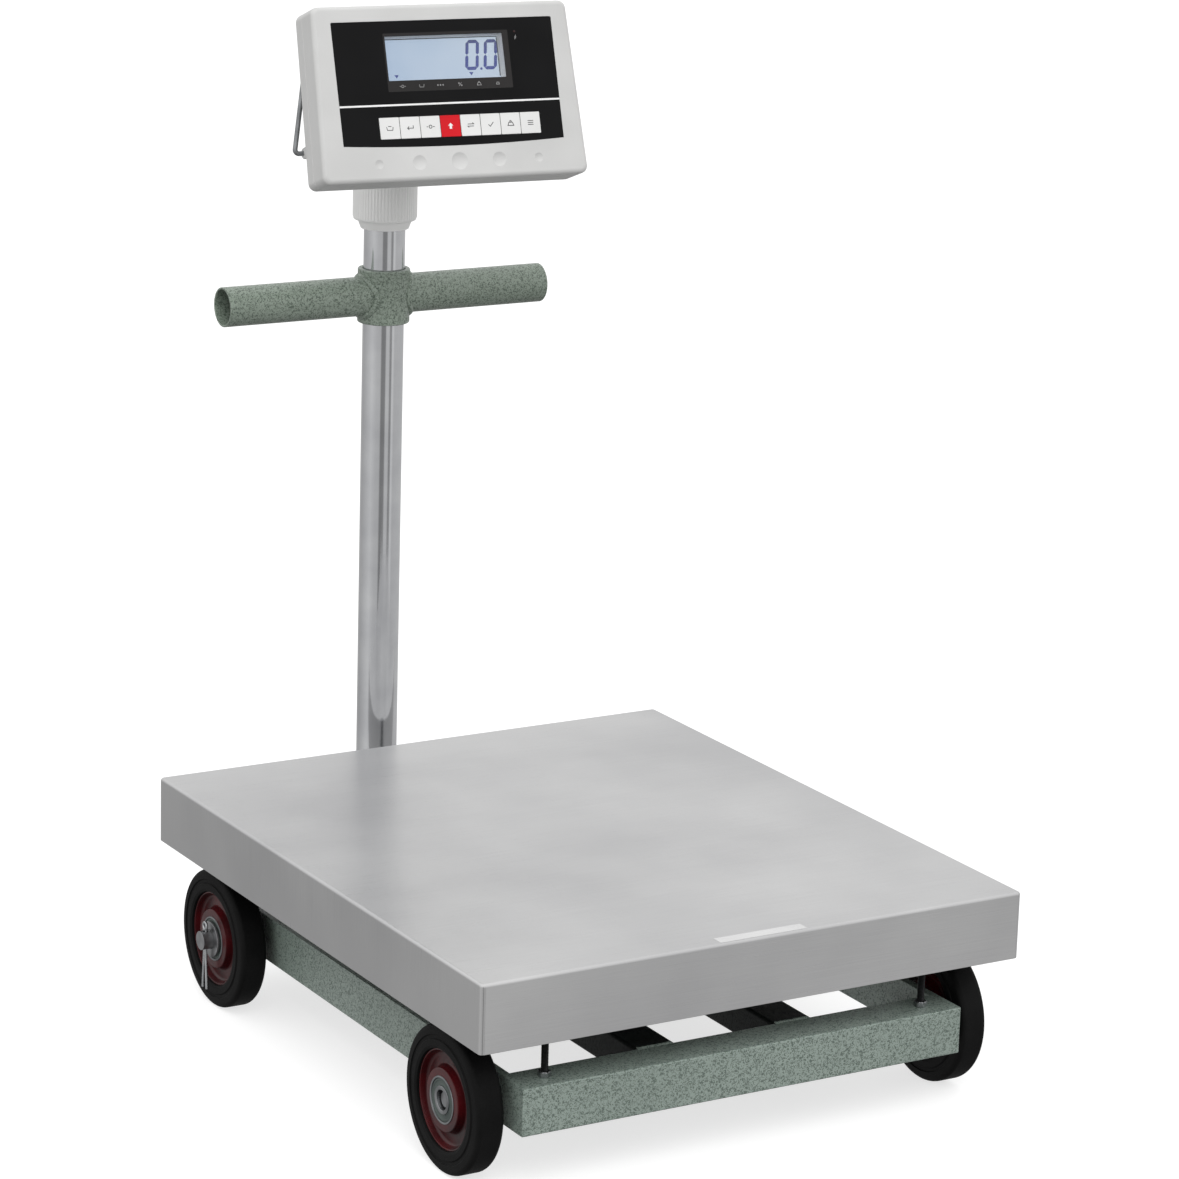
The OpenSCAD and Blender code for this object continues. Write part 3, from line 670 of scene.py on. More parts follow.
def plastic(f, light, dark, rough, grain=0.00002, scale=1400.0, specular=0.4):
    """Moulded plastic with fine spark texture and a slight change of tone."""
    spark = f.noise(scale, 3.0, 0.6)
    f.shade(
        Base_Color=f.blend(f.span(f.noise(16.0, 2.0), 0.3, 0.7), dark, light),
        Roughness=f.span(spark, 0.3, 0.7, rough - 0.05, rough + 0.06),
        Specular_IOR_Level=specular,
        Normal=f.bump(spark, grain),
    )


def laminate(f, light, dark):
    """Solder mask over the weave of a circuit board."""
    weave = f.cells(900.0)
    f.shade(
        Base_Color=f.blend(f.span(weave, 0.1, 0.6), dark, light),
        Roughness=f.span(weave, 0.1, 0.6, 0.28, 0.4),
        Normal=f.bump(weave, 0.00002),
    )


def clear(f, light, dark):
    """Clear window with a trace of haze."""
    haze = f.noise(120.0, 3.0)
    f.shade(
        Base_Color=f.blend(f.span(haze, 0.3, 0.7), light, dark),
        Roughness=f.span(haze, 0.3, 0.7, 0.03, 0.08),
        Alpha=0.07,
    )


def backlit(f, glow_right, glow_left, glass):
    """Backlit display: cool blue, brighter towards the lamps at its right end."""
    lo, hi = box("lcd_panel", HEAD)
    across = HEAD.to_3x3().col[0].normalized()
    offset = f.vector("SUBTRACT", f.place, tuple(HEAD.to_translation()))
    along = f.span(f.vector("DOT_PRODUCT", offset, tuple(across)), lo.x * MM, hi.x * MM)
    mottle = f.span(f.noise(28.0, 2.0), 0.3, 0.7, -0.12, 0.12)
    f.shade(
        Base_Color=glass,
        Roughness=f.span(f.noise(900.0, 2.0), 0.3, 0.7, 0.26, 0.34),
        Emission_Color=f.blend(f.math("ADD", along, mottle), glow_left, glow_right),
        Emission_Strength=0.78,
    )


# each look's maker and what it takes, in its order: colours of 0 to 255 as a screen shows them,
# then roughness and the rest
FINISHES = {
    "hammered_paint": (hammered, (148, 161, 153), (140, 153, 145), (93, 106, 98)),
    # a dark copy of the hammered paint for the parts under the deck: painted shade
    "hammered_dark": (hammered, (34, 38, 36), (28, 32, 30), (18, 21, 19), 0.15),
    "hammered_handle": (hammered, (137, 149, 137), (129, 141, 129), (84, 96, 85)),
    "bright_steel": (plated, (196, 198, 200), (150, 152, 154), 0.24),
    "dull_steel": (plated, (158, 160, 162), (118, 120, 122), 0.34, 900.0),
    "axle_steel": (plated, (176, 177, 178), (130, 131, 133), 0.36, 900.0),
    "cell_alloy": (plated, (205, 207, 210), (180, 182, 186), 0.34),
    "black_steel": (blackened, (24, 24, 25), (96, 96, 98)),
    "chromed_tube": (chrome, (214, 215, 217), (200, 201, 204)),
    "stainless": (brushed, (206, 206, 206), (186, 186, 187)),
    "tyre_rubber": (rubber, (22, 22, 22), (12, 12, 12), 0.58, 0.1),
    "pad_rubber": (rubber, (44, 44, 44), (28, 28, 28), 0.7),
    "seal_rubber": (rubber, (88, 98, 94), (62, 70, 68), 0.42),
    "rim_paint": (enamel, (78, 8, 14), (34, 6, 9)),
    "pale_plastic": (plastic, (202, 202, 201), (194, 194, 193), 0.46, 0.00003),
    # a lighter copy of the pale plastic for the collar and ferrule: painted light against their shade
    "pale_plastic_painted_light": (plastic, (244, 244, 243), (236, 236, 235), 0.46),
    "overlay_film": (plastic, (11, 11, 12), (16, 16, 17), 0.38, 0.000008, 2200.0, 0.12),
    "overlay_grey": (plastic, (42, 40, 40), (36, 35, 35), 0.36, 0.000008, 2200.0, 0.2),
    "black_plastic": (plastic, (30, 30, 31), (20, 20, 21), 0.33),
    "battery_case": (plastic, (60, 63, 70), (48, 51, 57), 0.5),
    "key_white": (plastic, (224, 224, 223), (216, 216, 215), 0.34, 0.000008, 2200.0),
    "key_red": (plastic, (208, 22, 34), (196, 16, 28), 0.34, 0.000008, 2200.0, 0.2),
    "print_white": (plastic, (236, 236, 236), (226, 226, 226), 0.45, 0.000004),
    "print_grey": (plastic, (150, 150, 150), (138, 138, 138), 0.45, 0.000004),
    "print_black": (plastic, (58, 58, 60), (46, 46, 48), 0.45, 0.000004),
    "lcd_ink": (plastic, (8, 40, 132), (6, 34, 118), 0.5, 0.000004, 1400.0, 0.1),
    "label_film": (plastic, (198, 198, 198), (190, 190, 190), 0.4, 0.000006),
    "lens_dark": (plastic, (46, 22, 22), (38, 18, 18), 0.12, 0.000002),
    "board_laminate": (laminate, (26, 96, 54), (18, 74, 40)),
    "window_clear": (clear, (236, 240, 244), (226, 232, 238)),
    "lcd_glass": (backlit, (190, 206, 224), (162, 186, 214), (60, 66, 74)),
}
LOOKS = {}


def look(name):
    """The material of that name, made once."""
    if name not in LOOKS:
        maker, *settings = FINISHES[name]
        finish = Finish(name)
        maker(finish, *[srgb(*value) if isinstance(value, tuple) else value for value in settings])
        LOOKS[name] = finish.material
    return LOOKS[name]


# ---------- deck ----------

FOLD_R = 2.8
COVER_CORNER_R = 4.0
SHEET_T = 1.5
LIP_R = 0.3
LABEL_X = (-38.0, 45.5)
LABEL_DEPTH = 11.5
LABEL_T = 0.12
LABEL_SUNK = 0.05
TUBE_WALL = 2.5
TUBE_R = 3.0
CROSS_WELD = 4.0


def deck_cover():
    """Folded stainless tray with rounded folds and open underside."""
    lo, hi = box("deck_cover")
    profile = [(inset, hi.z - drop) for inset, drop in edge_arc(FOLD_R, 6)]
    profile += [(0.0, lo.z + LIP_R), (LIP_R, lo.z), (SHEET_T - LIP_R, lo.z), (SHEET_T, lo.z + LIP_R)]
    inner = edge_arc(FOLD_R - SHEET_T, 4)[::-1]
    profile += [(SHEET_T + inset, hi.z - SHEET_T - drop) for inset, drop in inner]
    rings = []
    for inset, z in profile:
        radius = max(COVER_CORNER_R - inset, 0.4)
        outline = rounded_rect(lo.x + inset, hi.x - inset, lo.y + inset, hi.y - inset, radius, 6)
        rings.append([(*p, z) for p in outline])
    piece("deck_cover_sheet", skin(rings), "stainless", "cover", ["deck_cover"])


def deck_label():
    """Blank white strip on the top, along the front fold."""
    lo, hi = box("deck_cover")
    front = lo.y + FOLD_R - 0.6
    outline = rounded_rect(*LABEL_X, front, front + LABEL_DEPTH, 1.0, 4)
    rings = [[(*p, hi.z + z) for p in outline] for z in (-LABEL_SUNK, LABEL_T)]
    piece("deck_label", skin(rings), "key_white", "cover", finish="label_film")


def deck_frame():
    """Spider of box tubes under the cover."""
    for side in SIDES:
        rail = f"spider_rail_{side}"
        part = box_tube(*box(rail), 1, TUBE_WALL, TUBE_R)
        # the spider's tubes take the dark copy of the frame paint: painted shade under the deck
        piece(f"spider_tube_{side}", part, "hammered_paint", "load_frame", [rail], finish="hammered_dark")
    lo, hi = box("spider_cross")
    width = hi.z - lo.z
    parts = []
    seams = []
    for y0 in (lo.y, hi.y - width):
        y1 = y0 + width
        parts.append(box_tube((lo.x, y0, lo.z), (hi.x, y1, hi.z), 0, TUBE_WALL, TUBE_R))
        for x in (lo.x, hi.x):
            seams += [upright_weld(x, y, lo.z + 1, hi.z - 1, CROSS_WELD) for y in (y0, y1)]
    # the cross tubes and their welds take the dark copy of the frame paint: painted shade under the deck
    piece("spider_cross_tubes", parts, "hammered_paint", "load_frame", ["spider_cross"],
          finish="hammered_dark")
    piece("spider_welds", seams, "hammered_paint", "load_frame", finish="hammered_dark")


# ---------- base ----------

RING_EDGE = 1.3
BAR_R = 3.0
WELD_SIZE = 6.0
SOCKET_SEAM_IN = 2.0
STUD_R = 3.2
STUD_PITCH = 1.25
STUD_DEPTH = 0.5
STUD_SIDES = 20
STUD_ROWS = 5
STUD_CLEAR = 0.05
NUT_FLATS = 10.0
NUT_H = 5.0
NUT_CHAMFER = 0.7
HALF_FACE = math.pi / 6  # half a nut's face, as an angle
AXLE_TIP_R = 6.9
AXLE_TIP_LEN = 5.0


def base_ring():
    """Welded outer ring of the base: two beams and two rails, ground flush."""
    lo, hi = box("side_rail_left")
    right = box("side_rail_right")[1].x
    beam_lo, beam_hi = box("front_beam")
    depth = beam_hi.y - beam_lo.y
    rail = hi.x - lo.x
    rings = []
    for inset_x, inset_y, z in ((0, 0, lo.z), (0, 0, hi.z), (rail, depth, hi.z), (rail, depth, lo.z)):
        x0, x1 = lo.x + inset_x, right - inset_x
        y0, y1 = lo.y + inset_y, hi.y - inset_y
        rings.append([(x0, y0, z), (x1, y0, z), (x1, y1, z), (x0, y1, z)])
    obj = temporary(skin(rings, loop=True))
    round_edges(obj, RING_EDGE, 4, 40.0)
    nodes = ["front_beam", "rear_beam", "side_rail_left", "side_rail_right"]
    piece("base_ring", result(obj), "hammered_paint", "base", nodes)


def base_bars():
    """Inner bars between the beams, with the weld seams of the whole base."""
    seams = []
    for side in SIDES:
        node = f"inner_bar_{side}"
        lo, hi = box(node)
        part = bar(lo, hi, 1, BAR_R)
        # the inner bars take the dark copy of the frame paint: painted shade under the deck
        piece(f"base_bar_{side}", part, "hammered_paint", "base", [node], finish="hammered_dark")
        for x in (lo.x, hi.x):
            seams += [upright_weld(x, y, lo.z + 2, hi.z - 1, WELD_SIZE) for y in (lo.y, hi.y)]
        top = hi.z - 0.6
        for y in (lo.y, hi.y):
            seams.append(weld([(lo.x + 2, y, top), (hi.x - 2, y, top)], 0.6 * WELD_SIZE))
        rail_lo, rail_hi = box(f"side_rail_{side}")
        x = rail_hi.x if side == "left" else rail_lo.x
        seams += [upright_weld(x, y, rail_lo.z + 3, rail_hi.z - 2, WELD_SIZE) for y in (lo.y, hi.y)]
    piece("base_welds", seams, "hammered_paint", "base")


def bracket_welds():
    """Seams round the column's socket and where its arm meets the rear beam."""
    beam_lo, beam_hi = box("rear_beam")
    lo, hi = box("column_bracket")
    centre = joint_spot("head_swivel")
    y = beam_hi.y
    seams = [weld([(lo.x + 1, y, z), (hi.x - 1, y, z)], WELD_SIZE) for z in (beam_hi.z, beam_lo.z)]
    seams += [upright_weld(x, y, beam_lo.z + 1, beam_hi.z - 1, WELD_SIZE) for x in (lo.x, hi.x)]
    circle = disc(centre.x, centre.y, 0.5 * (hi.x - lo.x) - SOCKET_SEAM_IN, 48)
    seams.append(weld([(*p, beam_hi.z) for p in circle], 0.8 * WELD_SIZE, closed=True))
    piece("bracket_welds", seams, "hammered_paint", "base")


def threaded_rod(x, y, z0, z1, radius):
    """Rod with a real helical thread and chamfered ends."""
    rows = int((z1 - z0) / STUD_PITCH * STUD_ROWS)
    rings = []
    for row in range(rows + 1):
        z = z0 + (z1 - z0) * row / rows
        phases = [((z - z0) / STUD_PITCH - k / STUD_SIDES) % 1 for k in range(STUD_SIDES)]
        depths = [STUD_DEPTH * abs(2 * phase - 1) for phase in phases]
        if row in (0, rows):
            depths = [1.6 * STUD_DEPTH] * STUD_SIDES
        rings.append(around(x, y, z, [radius - depth for depth in depths]))
    return skin(rings)


def hex_nut(x, y, z, bore):
    """Hexagon nut with chamfered corners."""
    half = NUT_FLATS / 2
    turns = [math.pi * k / 18 for k in range(36)]
    flat = [half / math.cos((turn + HALF_FACE) % (2 * HALF_FACE) - HALF_FACE) for turn in turns]
    corner = half / math.cos(HALF_FACE)
    rings = [(bore, 0.0), (half - 0.2, 0.0), (corner, NUT_CHAMFER), (corner, NUT_H - NUT_CHAMFER),
             (half - 0.2, NUT_H), (bore, NUT_H)]
    return skin([around(x, y, z + h, [min(r, edge) for edge in flat]) for r, h in rings], loop=True)


def overload_stops():
    """Four black studs with bright nuts on the beams."""
    lo, hi = box("overload_stops")
    beam_top = box("front_beam")[1].z
    reach = NUT_FLATS / 2 / math.cos(HALF_FACE)
    studs = []
    nuts = []
    for x in (lo.x + reach, hi.x - reach):
        for y in (lo.y + NUT_FLATS / 2, hi.y - NUT_FLATS / 2):
            studs.append(threaded_rod(x, y, beam_top, hi.z - STUD_CLEAR, STUD_R))
            nuts.append(hex_nut(x, y, beam_top, STUD_R - 0.2))
    piece("stop_studs", studs, "black_steel", "base", ["overload_stops"])
    piece("stop_nuts", nuts, "bright_steel", "base", crease=25)


def axle_front():
    """Front axle, turned down where it lies sunk in the wheels' bearings."""
    lo, hi = box("axle_front")
    step = hi.x - AXLE_TIP_LEN
    half = [(0.0, hi.x, 0), (AXLE_TIP_R, hi.x, 0.8), (AXLE_TIP_R, step, 0), ((hi.z - lo.z) / 2, step, 0.4)]
    middle = (0.0, (lo.y + hi.y) / 2, (lo.z + hi.z) / 2)
    part = revolve(both_sides(half, 3), middle, X_AXIS, 64)
    piece("axle_front_turned", part, "axle_steel", "base", ["axle_front"])


# ---------- wheels ----------

GROOVE = (50.6, 53.4, 1.1)
SHOULDER_R = 8.6
WEB_HALF = 3.5
HUB_R = 26.5
INNER_RING_R = 11.9
SEAL_BORE = 11.95
RING_FLOOR = 1.0
# depth under a bearing's outside and under its face, along its seal
SEAL_STEPS = ((2.0, 2.4), (2.0, 0.8), (3.6, 0.7), (4.2, 1.1), (6.6, 1.1), (7.2, 0.8))


def tyre_profile(radius, half, rim_r):
    """Section of a tyre with a rounded shoulder and a ring groove in its sidewall."""
    g0, g1, deep = GROOVE
    return both_sides([
        (rim_r, half - 3.4, 0.0), (rim_r + 0.6, half - 0.9, 0.8), (rim_r + 3.0, half, 1.4),
        (g0 - 0.8, half, 0.5), (g0, half - deep, 0.4), (g1, half - deep, 0.4),
        (g1 + 0.4, half - 0.1, 0.5), (radius, half - 0.9, SHOULDER_R),
    ], 6)


def rim_profile(half, rim_r, bore, hub_half):
    """Section of a rim: raised hub, deep web and outer lip, with cast fillets."""
    return both_sides([
        (bore, hub_half, 0.3), (HUB_R, hub_half, 1.0), (HUB_R + 1.6, WEB_HALF, 2.4),
        (rim_r - 3.0, WEB_HALF, 3.0), (rim_r - 1.2, half - 3.0, 0.5), (rim_r, half - 3.0, 0.2),
    ], 4)


def bearing(centre, radius, half, face):
    """Outer ring and seal of the bearing on one face of a wheel."""
    ring = [(radius, RING_FLOOR), (radius, half), (radius - 1.6, half), (radius - 1.9, half - 1.2),
            (radius - 1.9, RING_FLOOR)]
    seal = [(radius - depth, half - under) for depth, under in SEAL_STEPS]
    seal += [(SEAL_BORE, half - 0.8), (SEAL_BORE, half - 2.4)]
    parts = []
    for points, rounding, steps in ((ring, [0, 0.25, 0.25, 0.1, 0], 3), (seal, 0.2, 2)):
        profile = fillet([(r, face * h) for r, h in points], rounding, steps)
        parts.append(revolve(profile, centre, X_AXIS, 96))
    return parts


def half_sizes(node):
    """Half a round node's height, and half its width along X."""
    lo, hi = box(node)
    return (hi.z - lo.z) / 2, (hi.x - lo.x) / 2


def wheel(end, side):
    """One wheel: tyre, rim, and the rings and seals of its two bearings."""
    where = f"{end}_{side}"
    body = f"wheel_{where}"
    centre = joint_spot(f"roll_{where}")
    radius, half = half_sizes(f"tyre_{where}")
    rim_r, hub_half = half_sizes(f"rim_{where}")
    bearing_r, bearing_half = half_sizes(f"bearing_{where}")
    tyre = revolve(tyre_profile(radius, half, rim_r), centre, X_AXIS, 160)
    piece(f"tyre_tread_{where}", tyre, "tyre_rubber", body, [f"tyre_{where}"])
    rim = revolve(rim_profile(half, rim_r, bearing_r, hub_half), centre, X_AXIS, 128)
    piece(f"rim_cast_{where}", rim, "rim_paint", body, [f"rim_{where}"])
    pairs = [bearing(centre, bearing_r, bearing_half, face) for face in (-1, 1)]
    rings, seals = map(list, zip(*pairs))
    piece(f"bearing_rings_{where}", rings, "bright_steel", body, [f"bearing_{where}"],
          finish="dull_steel")
    piece(f"bearing_seals_{where}", seals, "pad_rubber", body, finish="seal_rubber")


PIN_WIRE_R = 1.4
PIN_EYE_R = 3.2
PIN_EYE_GAP = 28
PIN_EYE_TURN = 304
PIN_APART = 1.3
PIN_SPREAD = 4.0
PIN_BEND = 8.0
PIN_INSET = 5.0
WASHER_R = 16.0
WASHER_HALF = 1.25


def split_pin(x, y, z, axle_r, leg):
    """Split pin through an axle: an eye on top and two legs that hang and spread."""
    top = axle_r + 1.0
    eye = z + top + PIN_EYE_R + 0.4
    left = [(x, y - PIN_SPREAD, z - leg), (x, y - PIN_APART, z - axle_r - 2), (x, y - PIN_APART, z + top)]
    right = [(p[0], 2 * y - p[1], p[2]) for p in left[::-1]]
    turns = [math.radians(-PIN_EYE_GAP - PIN_EYE_TURN * k / 16) for k in range(17)]
    ring = [Vector((x, y + PIN_EYE_R * math.sin(t), eye - PIN_EYE_R * math.cos(t))) for t in turns]
    legs = [fillet(points, [0, PIN_BEND, 0], 5, closed=False) for points in (left, right)]
    return sweep(legs[0] + ring + legs[1], PIN_WIRE_R, 12)


def axle_parts():
    """Bearing inner rings, spacers, and the rear washers and split pins."""
    rail_face = -box("side_rail_left")[0].x
    pin_foot = box("axle_retainers")[0].z
    axle_lo, axle_hi = box("axle_rear")
    axle_r = (axle_hi.z - axle_lo.z) / 2
    washer = ring_profile(axle_r + 0.1, WASHER_R, -WASHER_HALF, WASHER_HALF, 0.4)
    inner = []
    spacers = []
    washers = []
    pins = []
    for end in ENDS:
        for side, sign in SIDES.items():
            centre = joint_spot(f"roll_{end}_{side}")
            y, z = centre.y, centre.z
            _, half = half_sizes(f"bearing_{end}_{side}")
            inner.append(revolve(ring_profile(axle_r, INNER_RING_R, -half, half, 0.5), centre, X_AXIS, 72))
            gap = (abs(centre.x) - half) - rail_face
            middle = (sign * (rail_face + gap / 2), y, z)
            spacer = ring_profile(axle_r, INNER_RING_R, -gap / 2, gap / 2)
            spacers.append(revolve(spacer, middle, X_AXIS, 48))
            if end == "rear":
                outside = abs(centre.x) + half + WASHER_HALF
                washers.append(revolve(washer, (sign * outside, y, z), X_AXIS, 72))
                pins.append(split_pin(sign * (axle_hi.x - PIN_INSET), y, z, axle_r, z - pin_foot - 1.0))
    piece("bearing_inner_rings", inner, "bright_steel", "base", ["bearing_inners"],
          finish="dull_steel")
    piece("axle_spacers", spacers, "bright_steel", "base", ["axle_retainers"])
    piece("axle_washers", washers, "axle_steel", "base")
    piece("split_pins", pins, "bright_steel", "base")


# ---------- column ----------

COLUMN_WALL = 1.5
HANDLE_TUBE_R = 18.0
HANDLE_TUBE_IN = 16.0
SLEEVE_BORE = 19.0
SLEEVE_CHAMFER = (0.9, 2.4)
HANDLE_START = 6.0
HANDLE_WELD = 6.4
FERRULE_BORE = 19.0
FERRULE_TIP_R = 22.0
FERRULE_TAPER = 8.0
THREAD_R = 24.0
COLLAR_BORE = 24.05
COLLAR_BAND = 1.6
COLLAR_RUN_OUT = 1.2
COLLAR_RIBS = 60
COLLAR_RIB_DEPTH = 0.6
RIB_POINTS = 8


def column_tube():
    """Polished column tube."""
    centre, radius, z0, z1 = upright("column_tube")
    part = revolve(ring_profile(radius - COLUMN_WALL, radius, z0, z1), centre, Z_AXIS, 160)
    piece("column_tube_polished", part, "chromed_tube", "base", ["column_tube"])


def handle():
    """T handle: a sleeve on the column and an open tube welded to each side."""
    lo, hi = box("handle")
    centre = joint_spot("head_swivel")
    centre.z = (lo.z + hi.z) / 2
    sleeve_r = (hi.y - lo.y) / 2
    half = (hi.z - lo.z) / 2
    flare, flare_h = SLEEVE_CHAMFER
    sleeve = [(sleeve_r, half, 1.4), (SLEEVE_BORE + flare, half, 0.4), (SLEEVE_BORE, half - flare_h, 0.4)]
    parts = [revolve(both_sides(sleeve, 4), centre, Z_AXIS, 128)]
    start = math.sqrt(SLEEVE_BORE ** 2 - HANDLE_TUBE_IN ** 2) + HANDLE_START
    tube = ring_profile(HANDLE_TUBE_IN, HANDLE_TUBE_R, start, (hi.x - lo.x) / 2, 0.6)
    for sign in (-1, 1):
        parts.append(revolve(tube, centre, Vector((sign, 0, 0)), 96))
        seam = []
        for y, z in disc(0, 0, HANDLE_TUBE_R, 72):
            x = math.sqrt(sleeve_r * sleeve_r - y * y)
            seam.append((centre.x + sign * x, centre.y + y, centre.z + z))
        parts.append(weld(seam, HANDLE_WELD, closed=True))
    piece("handle_welded", parts, "hammered_paint", "base", ["handle"], finish="hammered_handle")


def column_ferrule():
    """Plastic sleeve with a tapered skirt, under the collar."""
    centre, wide, z0, z1 = upright("column_ferrule")
    rim = z0 + FERRULE_TAPER
    profile = [(FERRULE_BORE, z0), (FERRULE_TIP_R, z0), (wide, rim), (THREAD_R, rim), (THREAD_R, z1),
               (FERRULE_BORE, z1)]
    part = revolve(fillet(profile, [0.3, 0.8, 0.5, 0.1, 0.4, 0.2], 3), centre, Z_AXIS, 96)
    # the ferrule takes a lighter copy of the pale plastic: painted light against its shade
    piece("ferrule_skirt", part, "pale_plastic", "base", ["column_ferrule"], finish="pale_plastic_painted_light")


def lock_collar():
    """Clamping ring with fine moulded ribs between two plain bands."""
    centre, outer, z0, z1 = upright("lock_collar")
    rib_in = outer - COLLAR_RIB_DEPTH
    low = z0 + COLLAR_BAND
    high = z1 - COLLAR_BAND
    # radius, height and share of the ribs' depth
    profile = [
        (COLLAR_BORE, z0, 0), (outer - 1.6, z0, 0), (outer - 0.9, z0 + 0.5, 0), (rib_in, low, 0),
        (rib_in, low + COLLAR_RUN_OUT, 1), (rib_in, high - COLLAR_RUN_OUT, 1), (rib_in, high, 0),
        (outer - 1.1, z1 - 0.7, 0), (outer - 2.2, z1, 0), (COLLAR_BORE, z1, 0),
    ]
    rings = []
    for k, (x, y) in enumerate(disc(0, 0, 1, COLLAR_RIBS * RIB_POINTS)):
        wave = 0.5 + 0.5 * math.cos(2 * math.pi * (k % RIB_POINTS) / RIB_POINTS)
        depth = COLLAR_RIB_DEPTH * wave ** 0.6
        reaches = [(r + ribbed * depth, z) for r, z, ribbed in profile]
        rings.append([(centre.x + reach * x, centre.y + reach * y, z) for reach, z in reaches])
    # the collar takes a lighter copy of the pale plastic: painted light against the shade of its ribs and of
    # the head
    piece("collar_ribbed", skin(rings, loop=True), "pale_plastic", "collar", ["lock_collar"],
          finish="pale_plastic_painted_light", crease=60)


# ---------- indicator ----------

FACE_EDGE = 4.2
BACK_EDGE = 5.0
BACK = 42.0
OUTLINE_R = 7.0
CREST_INSET = 0.4
TOP_NARROWER = 5.0
SHELL_WALL = 2.5
PARTING_CHAMFER = 0.5
DIMPLE_R = (4.1, 6.6, 7.8, 6.6, 4.1)
DIMPLE_PITCH = 38.1
DIMPLE_X = 2.8
DIMPLE_Z = -62.0
DIMPLE_DEPTH = 0.28
OVERLAY_BOW = 3.0
OVERLAY_T = 0.5
OVERLAY_GAP = 0.15
KEY_GAP = 0.14
KEY_HOLE_DEPTH = 6.0
KEY_BAR_GAP = 0.05
PAST = 1.0  # how far a cutter reaches out of what it cuts
BULGE_X = 95.0
BULGE_Z = (-65.0, 20.0)
BULGE_EDGE = 5.0
BULGE_R = 8.0
POCKET_Y = 30.0
POCKET_R = 4.0
# revolved section and place of the wire stand's bosses, and the size of the block under each
BOSS = ((0, -8.0), (0, 8.0), (4.2, 8.0), (5.0, 7.2), (5.0, -7.2), (4.2, -8.0))
BOSS_X = 116.0
BOSS_BLOCK = (7.6, 3.0, 5.0)
ROCKER_HOLE = (10.4, 7.4)
ROCKER_HOLE_Y = (50.0, 70.0)
SOCKET_HOLE = ((0, -15.0), (0, 15.0), (6.1, 15.0), (6.1, -15.0))


def outline(inset=0.0, steps=8):
    """The housing seen from the front, inset evenly."""
    lo, hi = box("front_shell", HEAD)
    top = hi.x - TOP_NARROWER - inset
    wide = hi.x - inset
    high = hi.z - CREST_INSET - inset
    radius = max(OUTLINE_R - 0.6 * inset, 2.0)
    return fillet([(top, high), (-top, high), (-wide, -high), (wide, -high)], radius, steps)


def overlay_outline(grow=0.0):
    """The front sheet: straight sides and a lower edge that bows down."""
    lo, hi = box("overlay", HEAD)
    half = hi.x + grow
    low = lo.z + OVERLAY_BOW - grow
    points = [(half, hi.z + grow), (-half, hi.z + grow)]
    for i in range(17):
        s = i / 8 - 1
        points.append((s * half, low - OVERLAY_BOW * (1 - s * s)))
    return fillet(points, [1.2, 1.2] + [0] * 17, 4)


def opening(lo, hi, y0, y1, gap, radius):
    """Cutter for a rounded opening with a gap round a box."""
    return prism(rounded_rect(lo.x - gap, hi.x + gap, lo.z - gap, hi.z + gap, radius, 3), y0, y1)


def window_cut(y0, y1, gap=0.0):
    """Cutter for the display's window."""
    return opening(*box("lcd_window", HEAD), y0, y1, gap, 0.6 + gap)


def key_cut(y0, y1):
    """Cutter for the opening that all eight keys share."""
    return opening(box("key_1", HEAD)[0], box("key_8", HEAD)[1], y0, y1, KEY_GAP, 0.8)


def dimple(i, r):
    """Ball that presses one of the face's five dimples."""
    ball = r * (1 + DIMPLE_DEPTH ** 2) / (2 * DIMPLE_DEPTH)
    profile = [(ball * math.sin(t), ball * math.cos(t)) for t in [math.pi * k / 48 for k in range(49)]]
    spot = (DIMPLE_X + (i - 2) * DIMPLE_PITCH, r * DIMPLE_DEPTH - ball, DIMPLE_Z)
    return revolve(profile, spot, Y_AXIS, 64)


def front_shell():
    """Front half of the housing, with the recess for its sheet, openings and five dimples."""
    seam = box("front_shell", HEAD)[1].y
    rings = [at_depth(outline(inset), drop) for inset, drop in edge_arc(FACE_EDGE, 6)]
    for inset, y in ((0.0, seam - PARTING_CHAMFER), (PARTING_CHAMFER, seam), (SHELL_WALL, seam),
                     (SHELL_WALL, FACE_EDGE), (SHELL_WALL + 2, SHELL_WALL)):
        rings.append(at_depth(outline(inset), y))
    panel_y = box("lcd_panel", HEAD)[0].y
    tunnel = window_cut(1.0, panel_y, 1.5)
    cuts = [prism(overlay_outline(OVERLAY_GAP), -PAST, OVERLAY_T), window_cut(-PAST, panel_y + 1),
            key_cut(-PAST, KEY_HOLE_DEPTH)]
    cuts += [dimple(i, r) for i, r in enumerate(DIMPLE_R)]
    part = carved(skin(rings), cuts, [tunnel])
    piece("front_shell_moulded", part, "pale_plastic", "indicator", ["front_shell"], HEAD)


def bulge(back):
    """Raised box on the housing's back, with rounded edges."""
    low, high = BULGE_Z
    rings = []
    foot = back - BACK + PAST
    for inset, drop in [(0.0, foot), (0.0, BULGE_EDGE)] + edge_arc(BULGE_EDGE, 5)[::-1]:
        points = rounded_rect(inset - BULGE_X, BULGE_X - inset, low + inset, high - inset,
                              max(BULGE_R - inset, 2.0), 6)
        rings.append(at_depth(points, back - drop))
    return skin(rings)


def stand_bosses():
    """Two bosses that hold the wire stand, each on a small block."""
    pivot = joint_spot("stand_swing", HEAD)
    wide, deep, high = BOSS_BLOCK
    parts = []
    for x in (-BOSS_X, BOSS_X):
        parts.append(revolve(BOSS, (x, pivot.y, pivot.z), X_AXIS, 40))
        lo = Vector((x - wide, BACK - deep, pivot.z - high))
        parts.append(bar(lo, Vector((x + wide, pivot.y, pivot.z + high)), 1, 0.6))
    return parts


